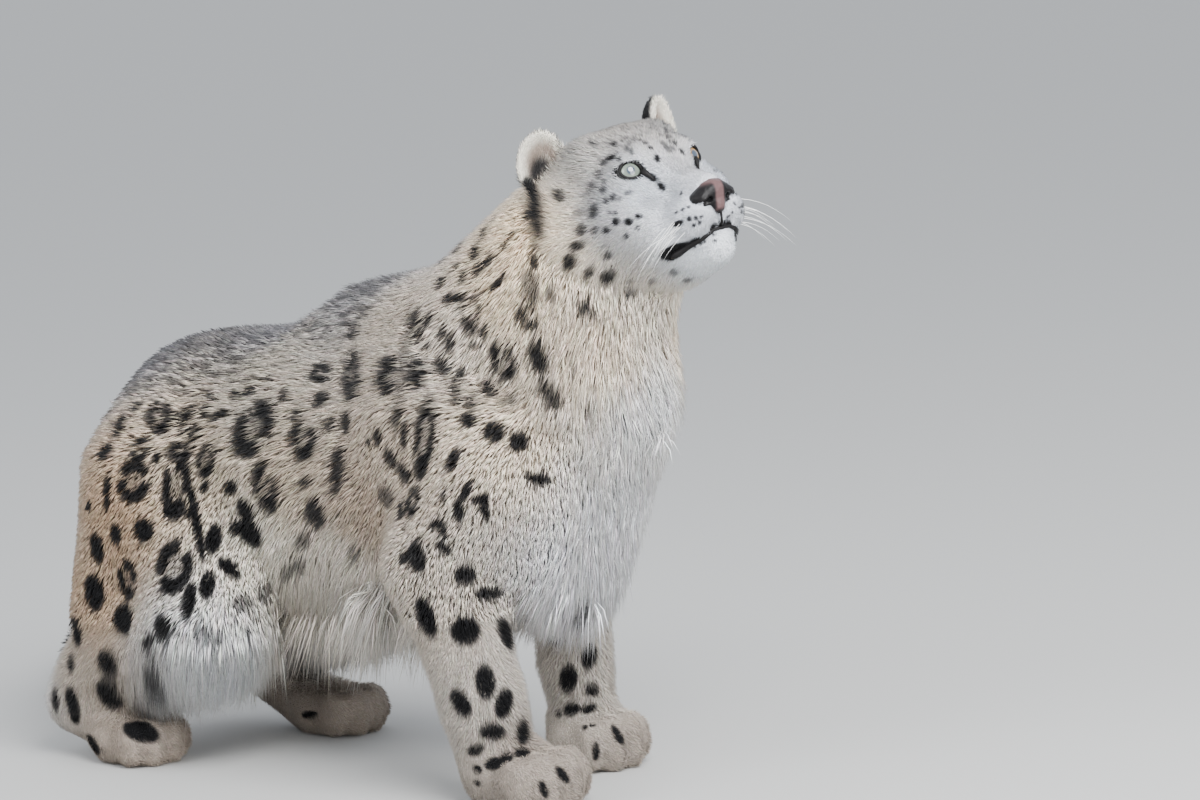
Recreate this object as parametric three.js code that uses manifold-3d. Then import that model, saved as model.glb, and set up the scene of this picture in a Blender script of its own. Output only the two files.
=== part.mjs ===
// Snow leopard, standing on a level floor with its head raised and turned a little to its right.
// A still, life-size model. Millimetres, +X forward, +Y the animal's left, +Z up.
import * as THREE from 'three';
import Module from 'manifold-3d';

const wasm = await Module();
wasm.setup();

// Driving sizes.
const CUT_GAP = 0.3;            // width of the thin cuts between the parts
const EYE_R = 16.5;             // radius of an eyeball
const HEAD_AT = [499, -5, 696.5];  // point midway between the eyes
const HEAD_YAW = -11.8;         // turned to the animal's right
const HEAD_PITCH = 10.3;        // nose raised
const HEAD_ROLL = 5;            // left side higher

// Colours of the parts in life.
const COAT_GREY = 0xb9b2a6;
const COAT_PALE = 0xd9d4c9;
const COAT_TAN = 0xb3a48f;
const NOSE_PINK = 0x8a6a62;
const EYE_GREEN = 0x9aa593;

const V = (x, y, z) => new THREE.Vector3(x, y, z);
const rad = THREE.MathUtils.degToRad;

// Distance fields: each returns the distance from (x, y, z) to a shape.
function ellipsoid(cx, cy, cz, rx, ry, rz) {
  return (x, y, z) => {
    const px = (x - cx) / rx;
    const py = (y - cy) / ry;
    const pz = (z - cz) / rz;
    const k0 = Math.hypot(px, py, pz);
    const k1 = Math.hypot(px / rx, py / ry, pz / rz);
    return k1 < 1e-9 ? -Math.min(rx, ry, rz) : k0 * (k0 - 1) / k1;
  };
}

// A cone with round ends: radius ra at a, rb at b.
function cone(ax, ay, az, ra, bx, by, bz, rb) {
  const bax = bx - ax;
  const bay = by - ay;
  const baz = bz - az;
  const l2 = bax * bax + bay * bay + baz * baz;
  const rr = ra - rb;
  const a2 = l2 - rr * rr;
  const il2 = 1 / l2;
  return (x, y, z) => {
    const pax = x - ax;
    const pay = y - ay;
    const paz = z - az;
    const yy = pax * bax + pay * bay + paz * baz;
    const zz = yy - l2;
    const qx = pax * l2 - bax * yy;
    const qy = pay * l2 - bay * yy;
    const qz = paz * l2 - baz * yy;
    const x2 = qx * qx + qy * qy + qz * qz;
    const y2 = yy * yy * l2;
    const z2 = zz * zz * l2;
    const k = Math.sign(rr) * rr * rr * x2;
    if (Math.sign(zz) * a2 * z2 > k) return Math.sqrt(x2 + z2) * il2 - rb;
    if (Math.sign(yy) * a2 * y2 < k) return Math.sqrt(x2 + y2) * il2 - ra;
    return (Math.sqrt(x2 * a2 * il2) + yy * rr) * il2 - ra;
  };
}

function smin(a, b, k) {
  const h = Math.max(k - Math.abs(a - b), 0) / k;
  return Math.min(a, b) - h * h * k / 4;
}

// Joins shapes one after another; k is how widely each blends into what is there already.
function blend(list) {
  return (x, y, z) => {
    let d = list[0][0](x, y, z);
    for (let i = 1; i < list.length; i += 1) d = smin(d, list[i][0](x, y, z), list[i][1]);
    return d;
  };
}

// The head's own frame.
const headTurn = new THREE.Matrix4().makeRotationZ(rad(HEAD_YAW))
  .multiply(new THREE.Matrix4().makeRotationY(rad(-HEAD_PITCH)))
  .multiply(new THREE.Matrix4().makeRotationX(rad(HEAD_ROLL)));
const headPlace = new THREE.Matrix4().makeTranslation(...HEAD_AT).multiply(headTurn);
const headBack = headPlace.clone().invert();
const hb = headBack.elements;
function inHead(field) {
  return (x, y, z) => field(
    hb[0] * x + hb[4] * y + hb[8] * z + hb[12],
    hb[1] * x + hb[5] * y + hb[9] * z + hb[13],
    hb[2] * x + hb[6] * y + hb[10] * z + hb[14]);
}

// Skull, brow, cheeks, muzzle, chin and jaw, in the head's frame.
const EYE_SEEN = [3, 43, 3];    // middle of the open eye, left side; the right one mirrors it
const EYE_FACING = [0.90, 0.40, 0.15];
const facing = V(...EYE_FACING).normalize();
const eyeAt = (side) => [EYE_SEEN[0] - facing.x * 15, side * (EYE_SEEN[1] - facing.y * 15), EYE_SEEN[2] - facing.z * 15];
const eyeL = eyeAt(1);
const eyeR = eyeAt(-1);
// The line of the mouth from corner to corner, before it is set on the skin.
const MOUTH = [[34, -46, -93], [50, -38, -90], [66, -25, -84], [78, -9, -75], [78, 9, -75], [66, 25, -84],
  [50, 38, -90], [34, 46, -93]];
const MOUTH_R = 2.6;
const LIP_R = 4.6;
const headCore = blend([
  [ellipsoid(-56, 0, -2, 68, 65, 58), 0],
  [ellipsoid(-66, 42, 28, 30, 28, 26), 16],
  [ellipsoid(-66, -42, 28, 30, 28, 26), 16],
  [ellipsoid(-16, 0, -12, 46, 44, 44), 20],
  [cone(8, 0, -22, 25, 68, 0, -37, 20), 16],
  [ellipsoid(-20, 46, -44, 48, 38, 42), 20],
  [ellipsoid(-20, -46, -44, 48, 38, 42), 20],
  [ellipsoid(2, 30, -74, 50, 34, 36), 20],
  [ellipsoid(2, -30, -74, 50, 34, 36), 20],
  [ellipsoid(56, 20, -62, 30, 24, 25), 12],
  [ellipsoid(56, -20, -62, 30, 24, 25), 12],
  [cone(61, 0, -97, 21, -10, 0, -92, 44), 14],
  [ellipsoid(-8, 30, 16, 20, 20, 12), 12],
  [ellipsoid(-8, -30, 16, 20, 20, 12), 12],
  [ellipsoid(...eyeL, EYE_R + 4, EYE_R + 4, EYE_R + 4), 8],
  [ellipsoid(...eyeR, EYE_R + 4, EYE_R + 4, EYE_R + 4), 8],
]);
const head = inHead(headCore);

// The nose leather: a pad with two wings, and a nostril in each.
const noseCore = blend([
  [ellipsoid(78, 0, -37, 15, 17, 12), 0],
  [ellipsoid(75, 15, -44, 14, 12, 10), 7],
  [ellipsoid(75, -15, -44, 14, 12, 10), 7],
  [ellipsoid(81, 0, -53, 9, 8, 10), 7],
]);
const nostril = blend([
  [cone(91, 12, -48, 4, 76, 9, -42, 2), 0],
  [cone(80, 23, -49, 2.4, 88, 15, -49, 3.4), 3],
  [cone(91, -12, -48, 4, 76, -9, -42, 2), 3],
  [cone(80, -23, -49, 2.4, 88, -15, -49, 3.4), 3],
]);
const nose = inHead((x, y, z) => Math.max(noseCore(x, y, z), -nostril(x, y, z)));

// An ear: a shallow cup, open to the front and side. side is 1 for left, -1 for right.
function earField(side, lift) {
  const up = V(0.16, side * -0.10, 0.98).normalize();
  const open = V(0.84, side * 0.53, 0.06).normalize();
  const wide = new THREE.Vector3().crossVectors(up, open).normalize();
  open.crossVectors(wide, up).normalize();
  const at = V(-99, side * 81, 32 + lift);
  const outer = ellipsoid(0, 0, 0, 29, 38, 19);
  const inner = ellipsoid(0, 2, 10, 24, 32, 17);
  return inHead((x, y, z) => {
    const d = V(x, y, z).sub(at);
    const a = d.dot(wide);
    const b = d.dot(up);
    const c = d.dot(open);
    const o = outer(a, b, c);
    const i = -inner(a, b, c);
    return -smin(-o, -i, 5);
  });
}

// Neck and trunk.
const trunk = blend([
  [ellipsoid(-238, 0, 378, 146, 108, 118), 0],
  [ellipsoid(-85, 0, 350, 210, 128, 160), 60],
  [ellipsoid(90, 0, 375, 200, 124, 178), 60],
  [ellipsoid(75, 0, 490, 120, 62, 74), 50],
  [ellipsoid(285, 0, 375, 135, 112, 150), 60],
  [cone(196, 0, 458, 126, 384, -2, 602, 107), 60],
  [ellipsoid(385, 0, 465, 88, 86, 110), 50],
  [ellipsoid(300, 0, 268, 66, 72, 62), 50],
]);

// Legs.
// A paw: a low pad with four toes in front, heading along angle deg; x, y is its middle.
function paw(x0, y0, halfLong, halfWide, high, deg) {
  const c = Math.cos(rad(deg));
  const s = Math.sin(rad(deg));
  const list = [[ellipsoid(-halfLong * 0.22, 0, high * 0.40, halfLong * 0.78, halfWide * 0.92, high * 0.62), 0]];
  for (const [t, fwd, big] of [[-0.68, 0.36, 0.86], [-0.25, 0.56, 1], [0.25, 0.58, 1], [0.68, 0.38, 0.86]]) {
    list.push([ellipsoid(halfLong * fwd, halfWide * t, high * 0.42, halfLong * 0.42, halfWide * 0.33 * big,
      high * 0.50 * big), 9]);
  }
  const local = blend(list);
  return (x, y, z) => {
    const dx = x - x0;
    const dy = y - y0;
    return local(c * dx + s * dy, -s * dx + c * dy, z);
  };
}

const foreRight = blend([
  [cone(300, -82, 372, 74, 212, -100, 268, 64), 0],
  [ellipsoid(200, -74, 400, 105, 58, 118), 50],
  [cone(218, -104, 262, 62, 256, -98, 112, 48), 30],
  [cone(256, -98, 112, 48, 270, -96, 52, 46), 20],
]);
const pawForeRight = paw(306, -92, 82, 57, 76, -8);
const foreLeft = blend([
  [cone(285, 82, 372, 72, 205, 98, 268, 60), 0],
  [ellipsoid(190, 74, 400, 100, 58, 118), 50],
  [cone(212, 100, 262, 58, 212, 96, 120, 42), 30],
  [cone(212, 96, 120, 42, 222, 93, 52, 42), 20],
]);
const pawForeLeft = paw(240, 92, 66, 50, 72, -6);
const hindRight = blend([
  [cone(-250, -62, 335, 104, -160, -108, 196, 72), 0],
  [cone(-275, -70, 320, 96, -330, -106, 178, 62), 40],
  [cone(-170, -112, 180, 66, -370, -114, 100, 48), 36],
  [cone(-370, -114, 100, 48, -406, -115, 74, 40), 24],
  [cone(-406, -115, 62, 38, -330, -118, 38, 37), 24],
]);
const pawHindRight = paw(-306, -119, 68, 50, 66, -4);
const hindLeft = blend([
  [cone(-225, 62, 335, 100, -125, 106, 210, 70), 0],
  [cone(-245, 70, 320, 92, -270, 102, 200, 60), 40],
  [cone(-130, 108, 195, 62, -300, 102, 118, 44), 36],
  [cone(-300, 102, 118, 44, -345, 100, 92, 38), 24],
  [cone(-345, 100, 84, 37, -250, 101, 38, 36), 24],
]);
const pawHindLeft = paw(-196, 102, 66, 49, 66, 2);

// Tail: its middle line and radius, root to tip.
const TAIL = [
  [-320, 0, 394, 62], [-384, 12, 358, 56], [-438, 38, 290, 50], [-492, 64, 204, 47], [-548, 88, 122, 46],
  [-610, 112, 64, 46], [-668, 140, 46, 47], [-736, 206, 46, 48], [-796, 292, 46, 49], [-846, 388, 45, 48],
  [-884, 470, 42, 44], [-906, 530, 34, 35],
];
const tailList = [];
for (let i = 0; i + 1 < TAIL.length; i += 1) tailList.push([cone(...TAIL[i], ...TAIL[i + 1]), 14]);
const tail = blend(tailList);

// The soft undersides reach a little below the floor here and are cut off flat at it later.
const floorCut = (field) => (x, y, z) => Math.max(field(x, y, z), -z - 6);
const flesh = floorCut(blend([
  [trunk, 0], [head, 34], [foreRight, 36], [foreLeft, 36], [hindRight, 40], [hindLeft, 40],
  [pawForeRight, 16], [pawForeLeft, 16], [pawHindRight, 16], [pawHindLeft, 16],
]));

// From field to closed surface.
// Six tetrahedra to a cell, so that the surface is always closed.
const TETS = [[0, 5, 1, 6], [0, 1, 2, 6], [0, 2, 3, 6], [0, 3, 7, 6], [0, 7, 4, 6], [0, 4, 5, 6]];
const CORNER = [[0, 0, 0], [1, 0, 0], [1, 1, 0], [0, 1, 0], [0, 0, 1], [1, 0, 1], [1, 1, 1], [0, 1, 1]];
function surface(field, lo, hi, cell) {
  const n = [0, 1, 2].map((i) => Math.ceil((hi[i] - lo[i]) / cell) + 1);
  const at = (i, j, k) => (k * n[1] + j) * n[0] + i;
  const value = new Float64Array(n[0] * n[1] * n[2]);
  for (let k = 0; k < n[2]; k += 1) {
    for (let j = 0; j < n[1]; j += 1) {
      for (let i = 0; i < n[0]; i += 1) {
        const edge = i === 0 || j === 0 || k === 0 || i === n[0] - 1 || j === n[1] - 1 || k === n[2] - 1;
        let d = field(lo[0] + i * cell, lo[1] + j * cell, lo[2] + k * cell);
        if (edge) d = Math.max(d, cell * 0.5);
        if (Math.abs(d) < cell * 0.02) d = d < 0 ? -cell * 0.02 : cell * 0.02;
        value[at(i, j, k)] = d;
      }
    }
  }
  const points = [];
  const faces = [];
  const seen = new Map();
  const total = value.length;
  function crossing(a, b) {
    const key = a < b ? a * total + b : b * total + a;
    let id = seen.get(key);
    if (id === undefined) {
      const t = value[a] / (value[a] - value[b]);
      const place = (q) => [q % n[0], Math.floor(q / n[0]) % n[1], Math.floor(q / (n[0] * n[1]))];
      const pa = place(a);
      const pb = place(b);
      id = points.length;
      points.push([0, 1, 2].map((i) => lo[i] + cell * (pa[i] + t * (pb[i] - pa[i]))));
      seen.set(key, id);
    }
    return id;
  }
  for (let k = 0; k + 1 < n[2]; k += 1) {
    for (let j = 0; j + 1 < n[1]; j += 1) {
      for (let i = 0; i + 1 < n[0]; i += 1) {
        const c = CORNER.map((o) => at(i + o[0], j + o[1], k + o[2]));
        let low = 0;
        for (const q of c) if (value[q] < 0) low += 1;
        if (low === 0 || low === 8) continue;
        for (const t of TETS) {
          const q = t.map((m) => c[m]);
          const inside = q.filter((m) => value[m] < 0);
          const outside = q.filter((m) => value[m] >= 0);
          if (inside.length === 0 || outside.length === 0) continue;
          const tri = [];
          if (inside.length === 1) {
            const e = outside.map((m) => crossing(inside[0], m));
            tri.push([e[0], e[1], e[2]]);
          } else if (inside.length === 3) {
            const e = inside.map((m) => crossing(m, outside[0]));
            tri.push([e[0], e[1], e[2]]);
          } else {
            const e = [crossing(inside[0], outside[0]), crossing(inside[0], outside[1]),
              crossing(inside[1], outside[1]), crossing(inside[1], outside[0])];
            tri.push([e[0], e[1], e[2]], [e[0], e[2], e[3]]);
          }
          const grid = (m) => CORNER[t[q.indexOf(m)]];
          const away = [0, 0, 0];
          for (const m of outside) for (let a = 0; a < 3; a += 1) away[a] += grid(m)[a] / outside.length;
          for (const m of inside) for (let a = 0; a < 3; a += 1) away[a] -= grid(m)[a] / inside.length;
          for (const f of tri) {
            const [p0, p1, p2] = f.map((m) => points[m]);
            const u = [p1[0] - p0[0], p1[1] - p0[1], p1[2] - p0[2]];
            const w = [p2[0] - p0[0], p2[1] - p0[1], p2[2] - p0[2]];
            const nx = u[1] * w[2] - u[2] * w[1];
            const ny = u[2] * w[0] - u[0] * w[2];
            const nz = u[0] * w[1] - u[1] * w[0];
            const ok = nx * away[0] + ny * away[1] + nz * away[2] > 0;
            faces.push(ok ? f : [f[0], f[2], f[1]]);
          }
        }
      }
    }
  }
  return { points, faces };
}

// Thins a closed mesh to about `target` triangles: the edge whose loss moves the surface least goes first.
function thin({ points, faces }, target) {
  const quad = points.map(() => new Float64Array(10));
  const around = points.map(() => new Set());
  const alive = faces.map(() => true);
  const normal = (f, swap, p) => {
    const [a, b, c] = f.map((m) => (m === swap ? p : points[m]));
    const u = [b[0] - a[0], b[1] - a[1], b[2] - a[2]];
    const w = [c[0] - a[0], c[1] - a[1], c[2] - a[2]];
    return [u[1] * w[2] - u[2] * w[1], u[2] * w[0] - u[0] * w[2], u[0] * w[1] - u[1] * w[0]];
  };
  faces.forEach((f, id) => {
    const n = normal(f);
    const l = Math.hypot(...n) || 1e-12;
    const [a, b, c] = n.map((q) => q / l);
    const p = points[f[0]];
    const d = -(a * p[0] + b * p[1] + c * p[2]);
    const m = [a * a, a * b, a * c, a * d, b * b, b * c, b * d, c * c, c * d, d * d];
    for (const v of f) {
      around[v].add(id);
      for (let i = 0; i < 10; i += 1) quad[v][i] += m[i] * l;
    }
  });
  const cost = (q, p) => q[0] * p[0] * p[0] + 2 * q[1] * p[0] * p[1] + 2 * q[2] * p[0] * p[2] + 2 * q[3] * p[0]
    + q[4] * p[1] * p[1] + 2 * q[5] * p[1] * p[2] + 2 * q[6] * p[1] + q[7] * p[2] * p[2] + 2 * q[8] * p[2] + q[9];
  const stamp = new Int32Array(points.length);
  const heap = [];
  const up = (i) => {
    while (i > 0) {
      const h = (i - 1) >> 1;
      if (heap[h].e <= heap[i].e) break;
      [heap[h], heap[i]] = [heap[i], heap[h]];
      i = h;
    }
  };
  const pop = () => {
    const top = heap[0];
    const last = heap.pop();
    if (heap.length > 0) {
      heap[0] = last;
      let i = 0;
      for (;;) {
        let m = i;
        const l = 2 * i + 1;
        if (l < heap.length && heap[l].e < heap[m].e) m = l;
        if (l + 1 < heap.length && heap[l + 1].e < heap[m].e) m = l + 1;
        if (m === i) break;
        [heap[m], heap[i]] = [heap[i], heap[m]];
        i = m;
      }
    }
    return top;
  };
  const push = (a, b) => {
    const q = new Float64Array(10);
    for (let i = 0; i < 10; i += 1) q[i] = quad[a][i] + quad[b][i];
    const mid = points[a].map((v, i) => (v + points[b][i]) / 2);
    let best = mid;
    const det = q[0] * (q[4] * q[7] - q[5] * q[5]) - q[1] * (q[1] * q[7] - q[5] * q[2])
      + q[2] * (q[1] * q[5] - q[4] * q[2]);
    const scale = Math.abs(q[0]) + Math.abs(q[4]) + Math.abs(q[7]);
    if (Math.abs(det) > 1e-4 * scale * scale * scale) {
      const x = -(q[3] * (q[4] * q[7] - q[5] * q[5]) - q[1] * (q[6] * q[7] - q[5] * q[8])
        + q[2] * (q[6] * q[5] - q[4] * q[8])) / det;
      const y = -(q[0] * (q[6] * q[7] - q[8] * q[5]) - q[3] * (q[1] * q[7] - q[5] * q[2])
        + q[2] * (q[1] * q[8] - q[6] * q[2])) / det;
      const z = -(q[0] * (q[4] * q[8] - q[5] * q[6]) - q[1] * (q[1] * q[8] - q[6] * q[2])
        + q[3] * (q[1] * q[5] - q[4] * q[2])) / det;
      const far = Math.hypot(x - mid[0], y - mid[1], z - mid[2]);
      const long = Math.hypot(...points[a].map((v, i) => v - points[b][i]));
      if (far < long) best = [x, y, z];
    }
    const long = points[a].reduce((s, v, i) => s + (v - points[b][i]) ** 2, 0);
    heap.push({ e: cost(q, best) + 1e-6 * long * long, a, b, p: best, s: stamp[a] + stamp[b] });
    up(heap.length - 1);
  };
  const ring = (v) => {
    const out = new Set();
    for (const id of around[v]) for (const m of faces[id]) if (m !== v) out.add(m);
    return out;
  };
  for (const f of faces) for (let i = 0; i < 3; i += 1) if (f[i] < f[(i + 1) % 3]) push(f[i], f[(i + 1) % 3]);
  let left = faces.length;
  while (left > target && heap.length > 0) {
    const { a, b, p, s } = pop();
    if (s !== stamp[a] + stamp[b] || stamp[a] < 0 || stamp[b] < 0) continue;
    const ra = ring(a);
    const rb = ring(b);
    if (!ra.has(b)) continue;
    let common = 0;
    for (const m of ra) if (rb.has(m)) common += 1;
    if (common !== 2) continue;
    let bad = false;
    for (const [v, o] of [[a, b], [b, a]]) {
      for (const id of around[v]) {
        if (faces[id].includes(o)) continue;
        const n0 = normal(faces[id]);
        const n1 = normal(faces[id], v, p);
        const l0 = Math.hypot(...n0);
        const l1 = Math.hypot(...n1);
        if (n0[0] * n1[0] + n0[1] * n1[1] + n0[2] * n1[2] < 0.25 * l0 * l1 || l1 < 1e-3) bad = true;
      }
    }
    if (bad) continue;
    points[a] = p;
    for (let i = 0; i < 10; i += 1) quad[a][i] += quad[b][i];
    for (const id of [...around[b]]) {
      if (faces[id].includes(a)) {
        alive[id] = false;
        for (const m of faces[id]) around[m].delete(id);
        left -= 1;
      } else {
        faces[id] = faces[id].map((m) => (m === b ? a : m));
        around[a].add(id);
      }
    }
    stamp[b] = -1e8;
    stamp[a] += 1;
    for (const m of ring(a)) push(a, m);
  }
  return { points, faces: faces.filter((f, id) => alive[id]) };
}

// Closed solids that can be joined and cut.
function solid({ points, faces }) {
  const used = new Map();
  const list = [];
  const tri = new Uint32Array(faces.length * 3);
  faces.forEach((f, i) => f.forEach((m, j) => {
    if (!used.has(m)) {
      used.set(m, list.length);
      list.push(points[m]);
    }
    tri[i * 3 + j] = used.get(m);
  }));
  return new wasm.Manifold(new wasm.Mesh({ numProp: 3, vertProperties: new Float32Array(list.flat()), triVerts: tri }));
}

// Welds a three.js geometry's corners, so that it closes.
function fromGeometry(geometry, matrix) {
  const g = geometry.clone();
  if (matrix) g.applyMatrix4(matrix);
  const pos = g.getAttribute('position');
  const index = g.index ? g.index.array : Array.from({ length: pos.count }, (q, i) => i);
  const ids = new Map();
  const points = [];
  const map = [];
  for (let i = 0; i < pos.count; i += 1) {
    const p = [pos.getX(i), pos.getY(i), pos.getZ(i)];
    const key = p.map((v) => Math.round(v * 1e3)).join();
    if (!ids.has(key)) {
      ids.set(key, points.length);
      points.push(p);
    }
    map.push(ids.get(key));
  }
  const faces = [];
  for (let i = 0; i < index.length; i += 3) {
    const f = [map[index[i]], map[index[i + 1]], map[index[i + 2]]];
    if (f[0] !== f[1] && f[1] !== f[2] && f[2] !== f[0]) faces.push(f);
  }
  return solid({ points, faces });
}

// An upright block between two corners, for cutting.
function block(lo, hi) {
  const g = new THREE.BoxGeometry(hi[0] - lo[0], hi[1] - lo[1], hi[2] - lo[2]);
  const m = new THREE.Matrix4().makeTranslation((lo[0] + hi[0]) / 2, (lo[1] + hi[1]) / 2, (lo[2] + hi[2]) / 2);
  return fromGeometry(g, m);
}

// A large block whose face lies on the plane through `at`, on the side the normal points to.
function beyond(at, normal, size = 900) {
  const q = new THREE.Quaternion().setFromUnitVectors(V(0, 0, 1), V(...normal).normalize());
  const m = new THREE.Matrix4().makeTranslation(...at)
    .multiply(new THREE.Matrix4().makeRotationFromQuaternion(q))
    .multiply(new THREE.Matrix4().makeTranslation(0, 0, size / 2));
  return fromGeometry(new THREE.BoxGeometry(size, size, size), m);
}

// Six times the volume inside a solid's surface.
function measure(m) {
  const mesh = m.getMesh();
  const v = mesh.vertProperties;
  const t = mesh.triVerts;
  let sum = 0;
  for (let i = 0; i < t.length; i += 3) {
    const [a, b, c] = [t[i] * 3, t[i + 1] * 3, t[i + 2] * 3];
    sum += v[a] * (v[b + 1] * v[c + 2] - v[b + 2] * v[c + 1]) + v[a + 1] * (v[b + 2] * v[c] - v[b] * v[c + 2])
      + v[a + 2] * (v[b] * v[c + 1] - v[b + 1] * v[c]);
  }
  return sum;
}

// Sets every corner on a fine grid, welds corners that fall together, and keeps the largest closed surface,
// without loose bits or bubbles inside it.
const GRID = 1 / 512;
function largest(m, rounds = 4) {
  const mesh = m.getMesh();
  const v = mesh.vertProperties;
  const ids = new Map();
  const points = [];
  const map = [];
  for (let i = 0; i < v.length; i += 3) {
    const p = [v[i], v[i + 1], v[i + 2]].map((q) => Math.round(q / GRID) * GRID);
    const key = p.join();
    if (!ids.has(key)) {
      ids.set(key, points.length);
      points.push(p);
    }
    map.push(ids.get(key));
  }
  let faces = [];
  for (let i = 0; i < mesh.triVerts.length; i += 3) {
    faces.push([map[mesh.triVerts[i]], map[mesh.triVerts[i + 1]], map[mesh.triVerts[i + 2]]]);
  }
  let touching = [];
  do {
    const into = new Map(touching);
    faces = faces.map((f) => f.map((q) => into.get(q) ?? q))
      .filter((f) => f[0] !== f[1] && f[1] !== f[2] && f[2] !== f[0]);
    touching = sharedTwice(faces);
  } while (touching.length > 0);
  const pieces = solid({ points, faces }).decompose().sort((a, b) => measure(b) - measure(a));
  return rounds > 1 ? largest(pieces[0], rounds - 1) : pieces[0];
}

// Edges along which a surface touches itself, each as [later corner, earlier corner], to be closed up.
function sharedTwice(faces) {
  const count = new Map();
  for (const f of faces) {
    for (let j = 0; j < 3; j += 1) {
      const key = [f[j], f[(j + 1) % 3]].sort((a, b) => b - a).join();
      count.set(key, (count.get(key) || 0) + 1);
    }
  }
  return [...count].filter(([, n]) => n > 2).map(([key]) => key.split(',').map(Number));
}

// Locks of long coat.
// A repeatable draw between -1 and 1.
let seed = 7;
function draw() {
  seed = (seed * 16807) % 2147483647;
  return seed / 1073741823.5 - 1;
}

// A flat, tapered lock: it leaves `root` along `dir`, lies with its flat side towards `out` and bends by `sag`
// towards the floor. Wide at the root and a point at the tip.
function lock(from, dir, out, long, wide, thick, sag) {
  const steps = 4;
  const d = V(dir[0] + 0.03 * draw(), dir[1] + 0.03 * draw(), dir[2]).normalize();
  const o = V(out[0] + 0.14 * draw(), out[1] + 0.14 * draw(), out[2] + 0.14 * draw());
  o.addScaledVector(d, -o.dot(d)).normalize();
  const root = [from[0], from[1] + 2.5 * draw(), from[2]];
  const w = new THREE.Vector3().crossVectors(d, o).normalize();
  const points = [];
  for (let i = 0; i <= steps; i += 1) {
    const t = i / steps;
    const size = t < 0.45 ? 1 - 0.12 * t : 0.946 * Math.sqrt(Math.max(0, 1 - ((t - 0.45) / 0.55) ** 1.6));
    const mid = V(...root).addScaledVector(d, long * t).addScaledVector(V(0, 0, -1), sag * t * t)
      .addScaledVector(o, -0.10 * long * t * t);
    if (i === steps) {
      points.push(mid.toArray());
      break;
    }
    for (const [a, b] of [[-0.5, 0], [0, 0.5], [0.5, 0], [0, -0.5]]) {
      points.push(mid.clone().addScaledVector(w, a * wide * size).addScaledVector(o, b * thick * size).toArray());
    }
  }
  const faces = [[0, 1, 2], [0, 2, 3]];
  for (let i = 0; i + 1 < steps; i += 1) {
    for (let j = 0; j < 4; j += 1) {
      const a = i * 4 + j;
      const b = i * 4 + (j + 1) % 4;
      faces.push([a, a + 4, b + 4], [a, b + 4, b]);
    }
  }
  const last = (steps - 1) * 4;
  for (let j = 0; j < 4; j += 1) faces.push([last + j, steps * 4, last + (j + 1) % 4]);
  return solid({ points, faces });
}

// Height of the tips of the fringe under the flanks, along the body: they rise towards the chest.
const FRINGE_TIP = [[-260, 92], [-150, 90], [-70, 104], [-16, 114], [50, 130], [110, 150]];
function fringeTip(x) {
  for (let i = 0; i + 1 < FRINGE_TIP.length; i += 1) {
    const [[x0, z0], [x1, z1]] = [FRINGE_TIP[i], FRINGE_TIP[i + 1]];
    if (x <= x1) return z0 + (z1 - z0) * (x - x0) / (x1 - x0);
  }
  return FRINGE_TIP[FRINGE_TIP.length - 1][1];
}

// Walks from `from` towards `to` and gives the last point inside the body, `deep` below its surface.
function rootUnder(from, to, deep) {
  const a = V(...from);
  const d = V(...to).sub(a);
  const long = d.length();
  d.normalize();
  for (let t = long; t > 0; t -= 1) {
    const q = a.clone().addScaledVector(d, t);
    if (flesh(q.x, q.y, q.z) < -deep) return q.toArray();
  }
  return from;
}

const group = new THREE.Group();
group.name = 'snow_leopard';
const made = [];
function addNode(name, m, color, roughness = 0.9) {
  made.push([name, largest(m), color, roughness]);
}

// Where the body is parted.
const G = CUT_GAP / 2;
const unit = (v) => {
  const l = Math.hypot(...v);
  return v.map((q) => q / l);
};
const shift = (p, n, d) => p.map((v, i) => v + unit(n)[i] * d);
const headPoint = (x, y, z) => V(x, y, z).applyMatrix4(headPlace).toArray();
const headDir = (x, y, z) => V(x, y, z).transformDirection(headTurn).toArray();
const NECK_TOP = headPoint(-138, 0, 35);
const NECK_TOP_N = headDir(0.837, 0, 0.55);
const NECK_LOW = [118, 0, 576];
const NECK_LOW_N = [0.442, 0, 0.898];
const CHEST_X = 40;
const RUMP_X = -175;
const WIDE = 700;

// [name, low corner, high corner] of the box that holds each leg part, parted by flat cuts.
const LEGS = [
  ['shoulder_right', [112, -WIDE, 214], [420, -66, 446]],
  ['leg_fore_right', [112, -WIDE, 66], [420, -34, 214]],
  ['paw_fore_right', [112, -WIDE, -G], [420, -18, 66]],
  ['shoulder_left', [104, 66, 214], [420, WIDE, 446]],
  ['leg_fore_left', [104, 34, 66], [420, WIDE, 214]],
  ['paw_fore_left', [104, 18, -G], [420, WIDE, 66]],
  ['thigh_right', [-480, -WIDE, 178], [-60, -60, 380]],
  ['leg_hind_right', [-480, -WIDE, 56], [-60, -40, 178]],
  ['paw_hind_right', [-480, -WIDE, -G], [-60, -20, 56]],
  ['thigh_left', [-480, 60, 182], [-40, WIDE, 380]],
  ['leg_hind_left', [-480, 40, 56], [-40, WIDE, 182]],
  ['paw_hind_left', [-480, 20, -G], [-40, WIDE, 56]],
];

const raw = (field, lo, hi, cell, target) => thin(surface(field, lo, hi, cell), target);

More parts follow.
